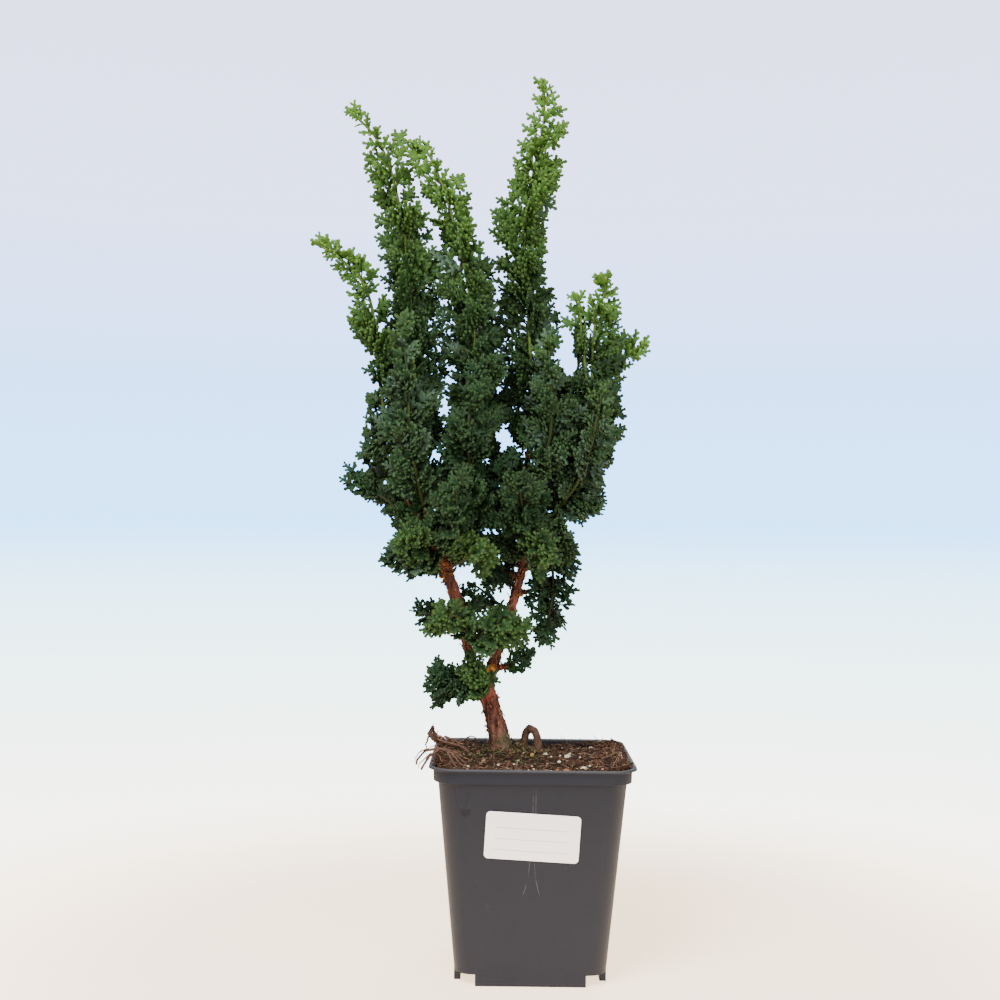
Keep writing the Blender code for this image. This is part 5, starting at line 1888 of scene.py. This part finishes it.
class PotLooks(bpy.types.PropertyGroup):
    pot_grey: colour_property("Pot grey", "Dark grey of the plastic", (0.0136, 0.0152, 0.0228))
    # Pot dark is also the painted shade on the upper wall
    pot_dark: colour_property("Pot dark", "Darker grey of its mottling", (0.0077, 0.0096, 0.0170))
    pot_dust: colour_property("Pot dust", "Dust, scratches and the rim's edge", (0.55, 0.53, 0.50))
    paper: colour_property("Paper", "White of the label", (0.96, 0.92, 0.92))
    ink: colour_property("Ink", "Grey of the label's lines", (0.22, 0.21, 0.22))


# Steps

class CYPRESS_OT_foliage(bpy.types.Operator):
    """Grow the leafy sprays, one piece for each node of the frame"""

    bl_idname = "cypress.foliage"
    bl_label = "Foliage"

    def execute(self, context):
        looks = context.scene.foliage_looks
        sprigs = sprig_templates()
        finish = foliage_finish(looks)
        for name, shoot in SHOOTS.items():
            if shoot.wood:
                piece = Spray(name, looks, sprigs, random.Random("spray " + name)).grow()
                stand_in(finish.cover(piece), "spray_" + name, slot="foliage")
        return {"FINISHED"}


class CYPRESS_OT_bark(bpy.types.Operator):
    """Model the trunk and limbs with scaly bark, flakes and old brown sprigs"""

    bl_idname = "cypress.bark"
    bl_label = "Bark"

    def execute(self, context):
        looks = context.scene.bark_looks
        tree = model_tree(looks)
        stand_in(tree, "tree", slot="bark")
        stand_in(bark_flakes(tree, looks), slot="bark")
        stand_in(model_dead_sprigs(looks, sprig_templates()), slot="bark")
        return {"FINISHED"}


class CYPRESS_OT_roots(bpy.types.Operator):
    """Model the roots that show on the mix"""

    bl_idname = "cypress.roots"
    bl_label = "Roots"

    def execute(self, context):
        looks = context.scene.root_looks
        finish = root_finish(looks)
        for node, *sizes in ROOTS:
            stand_in(finish.cover(model_root(node, *sizes)), node, slot="root_bark")
        stand_in(model_fine_roots(looks), slot="root_bark")
        return {"FINISHED"}


class CYPRESS_OT_soil(bpy.types.Operator):
    """Model the potting mix and what lies on it"""

    bl_idname = "cypress.soil"
    bl_label = "Potting mix"

    def execute(self, context):
        looks = context.scene.soil_looks
        soil = model_soil(looks)
        stand_in(soil, "soil", slot="potting_mix")
        stand_in(model_crumbs(soil, looks), slot="potting_mix")
        return {"FINISHED"}


class CYPRESS_OT_pot(bpy.types.Operator):
    """Model the pot and its label"""

    bl_idname = "cypress.pot"
    bl_label = "Pot and label"

    def execute(self, context):
        looks = context.scene.pot_looks
        stand_in(model_pot(looks), "pot", slot="pot_plastic")
        stand_in(model_label(looks), "label", slot="label_paper")
        return {"FINISHED"}


# Stage

CAMERA_LENS = 50.5
CAMERA_SENSOR = 36
CAMERA_TILT = math.radians(90 + 1.062)
CAMERA_ROLL = math.radians(0.7)

# Lamps: name, place, size and power
LAMPS = (("key", (-0.5, -0.8, 1.1), 0.6, 30), ("fill", (0.5, -1.0, 0.35), 0.9, 13),
         ("rim", (0.3, 0.9, 0.9), 0.8, 9))
LAMP_AIM = Vector((0, 0, 0.2))
AMBIENT_COLOUR = (0.95, 0.98, 1)
AMBIENT = 0.5

# Colours behind the object from low to high, between these two heights of the ray of sight
SKY = ((0.0, (8.0, 6.0, 4.6)), (0.16, (6.0, 5.6, 4.9)), (0.32, (3.9, 5.1, 5.2)), (0.40, (2.6, 4.5, 5.7)),
       (0.46, (1.3, 3.3, 6.2)), (0.6, (1.5, 2.8, 5.3)), (0.8, (2.4, 2.7, 4.0)), (1.0, (2.3, 2.5, 3.6)))
SKY_LOW = -0.324
SKY_HIGH = 0.376

FLOOR_RADIUS = 0.6
FLOOR_FADE = (0.14, 0.42)
FLOOR_COLOUR = (0.88, 0.78, 0.66)
FLOOR_GLOW = (1.0, 0.73, 0.47)
FLOOR_GLOW_STRENGTH = 2.4


def studio_world():
    """Even light on the object, and a pale sky behind it, cream below and bluish above."""
    world = bpy.data.worlds.new("studio")
    world.use_nodes = True
    nodes = Nodes(world.node_tree)
    ambient = nodes.tree.nodes["Background"]
    nodes.feed(ambient.inputs["Color"], AMBIENT_COLOUR)
    nodes.feed(ambient.inputs["Strength"], AMBIENT)
    _, _, up = nodes.split(nodes.coordinates("Generated"))
    share = nodes.wire("Result", "ShaderNodeMapRange", Value=up, From_Min=SKY_LOW, From_Max=SKY_HIGH)
    colour = nodes.wire("Color", "ShaderNodeValToRGB", stops=SKY, Fac=share)
    sky = nodes.node("ShaderNodeBackground", Color=colour)
    choice = nodes.node("ShaderNodeMixShader", Fac=nodes.wire("Is Camera Ray", "ShaderNodeLightPath"))
    for socket, shader in zip(choice.inputs[1:], (ambient, sky)):
        nodes.feed(socket, Wire(nodes, shader.outputs["Background"]))
    nodes.feed(nodes.tree.nodes["World Output"].inputs["Surface"], Wire(nodes, choice.outputs["Shader"]))
    return world


def lay_floor():
    """A round white floor that glows a little and fades out towards its edge."""
    deselect_all()
    bpy.ops.mesh.primitive_circle_add(vertices=96, radius=FLOOR_RADIUS, fill_type="NGON")
    floor = added("floor")
    finish = Finish("floor_white", roughness=0.9)
    finish.colour(FLOOR_COLOUR)
    finish.feed(finish.shader.inputs["Emission Color"], FLOOR_GLOW)
    finish.feed(finish.shader.inputs["Emission Strength"], FLOOR_GLOW_STRENGTH)
    across, along, _ = finish.split(finish.place())
    away = finish.number("SQRT", across * across + along * along)
    finish.feed(finish.shader.inputs["Alpha"], 1 - finish.band(away, *FLOOR_FADE))
    return finish.cover(floor)


class CYPRESS_OT_stage(bpy.types.Operator):
    """Set the floor, the light and the camera"""

    bl_idname = "cypress.stage"
    bl_label = "Stage"

    def execute(self, context):
        floor = lay_floor()
        context.scene.world = studio_world()
        for name, place, size, power in LAMPS:
            bpy.ops.object.light_add(type="AREA", location=place)
            lamp = bpy.context.view_layer.objects.active
            lamp.name = name
            lamp.data.size = size
            lamp.data.energy = power
            lamp.rotation_euler = (LAMP_AIM - Vector(place)).to_track_quat("-Z", "Y").to_euler()
        camera = bpy.data.objects.new("camera", bpy.data.cameras.new("camera"))
        context.scene.collection.objects.link(camera)
        camera.data.lens = CAMERA_LENS
        camera.data.sensor_width = CAMERA_SENSOR
        camera.matrix_world = (Matrix.Translation(CAMERA_PLACE) @ Matrix.Rotation(CAMERA_TILT, 4, "X")
                               @ Matrix.Rotation(CAMERA_ROLL, 4, "Z"))
        context.scene.camera = camera
        return {"FINISHED"}


# Panel

LOOKS = {"bark_looks": BarkLooks, "root_looks": RootLooks, "soil_looks": SoilLooks, "pot_looks": PotLooks,
         "foliage_looks": FoliageLooks}
STEPS = (CYPRESS_OT_pot, CYPRESS_OT_soil, CYPRESS_OT_roots, CYPRESS_OT_bark, CYPRESS_OT_foliage,
         CYPRESS_OT_stage)


class CYPRESS_PT_panel(bpy.types.Panel):
    """Lists the steps and their sizes and colours"""

    bl_idname = "CYPRESS_PT_panel"
    bl_label = "Potted cypress"
    bl_space_type = "VIEW_3D"
    bl_region_type = "UI"
    bl_category = "Cypress"

    def draw(self, context):
        for step in STEPS:
            self.layout.operator(step.bl_idname)
        for name, kind in LOOKS.items():
            box = self.layout.box()
            for key in kind.__annotations__:
                box.prop(getattr(context.scene, name), key)


def register():
    for kind in (*LOOKS.values(), *STEPS, CYPRESS_PT_panel):
        bpy.utils.register_class(kind)
    for name, kind in LOOKS.items():
        setattr(bpy.types.Scene, name, bpy.props.PointerProperty(type=kind))


def unregister():
    for name in LOOKS:
        delattr(bpy.types.Scene, name)
    for kind in reversed((*LOOKS.values(), *STEPS, CYPRESS_PT_panel)):
        bpy.utils.unregister_class(kind)


def main():
    register()
    bpy.ops.cypress.pot()
    bpy.ops.cypress.soil()
    bpy.ops.cypress.roots()
    bpy.ops.cypress.bark()
    bpy.ops.cypress.foliage()
    bpy.ops.cypress.stage()


if __name__ == "__main__":
    main()
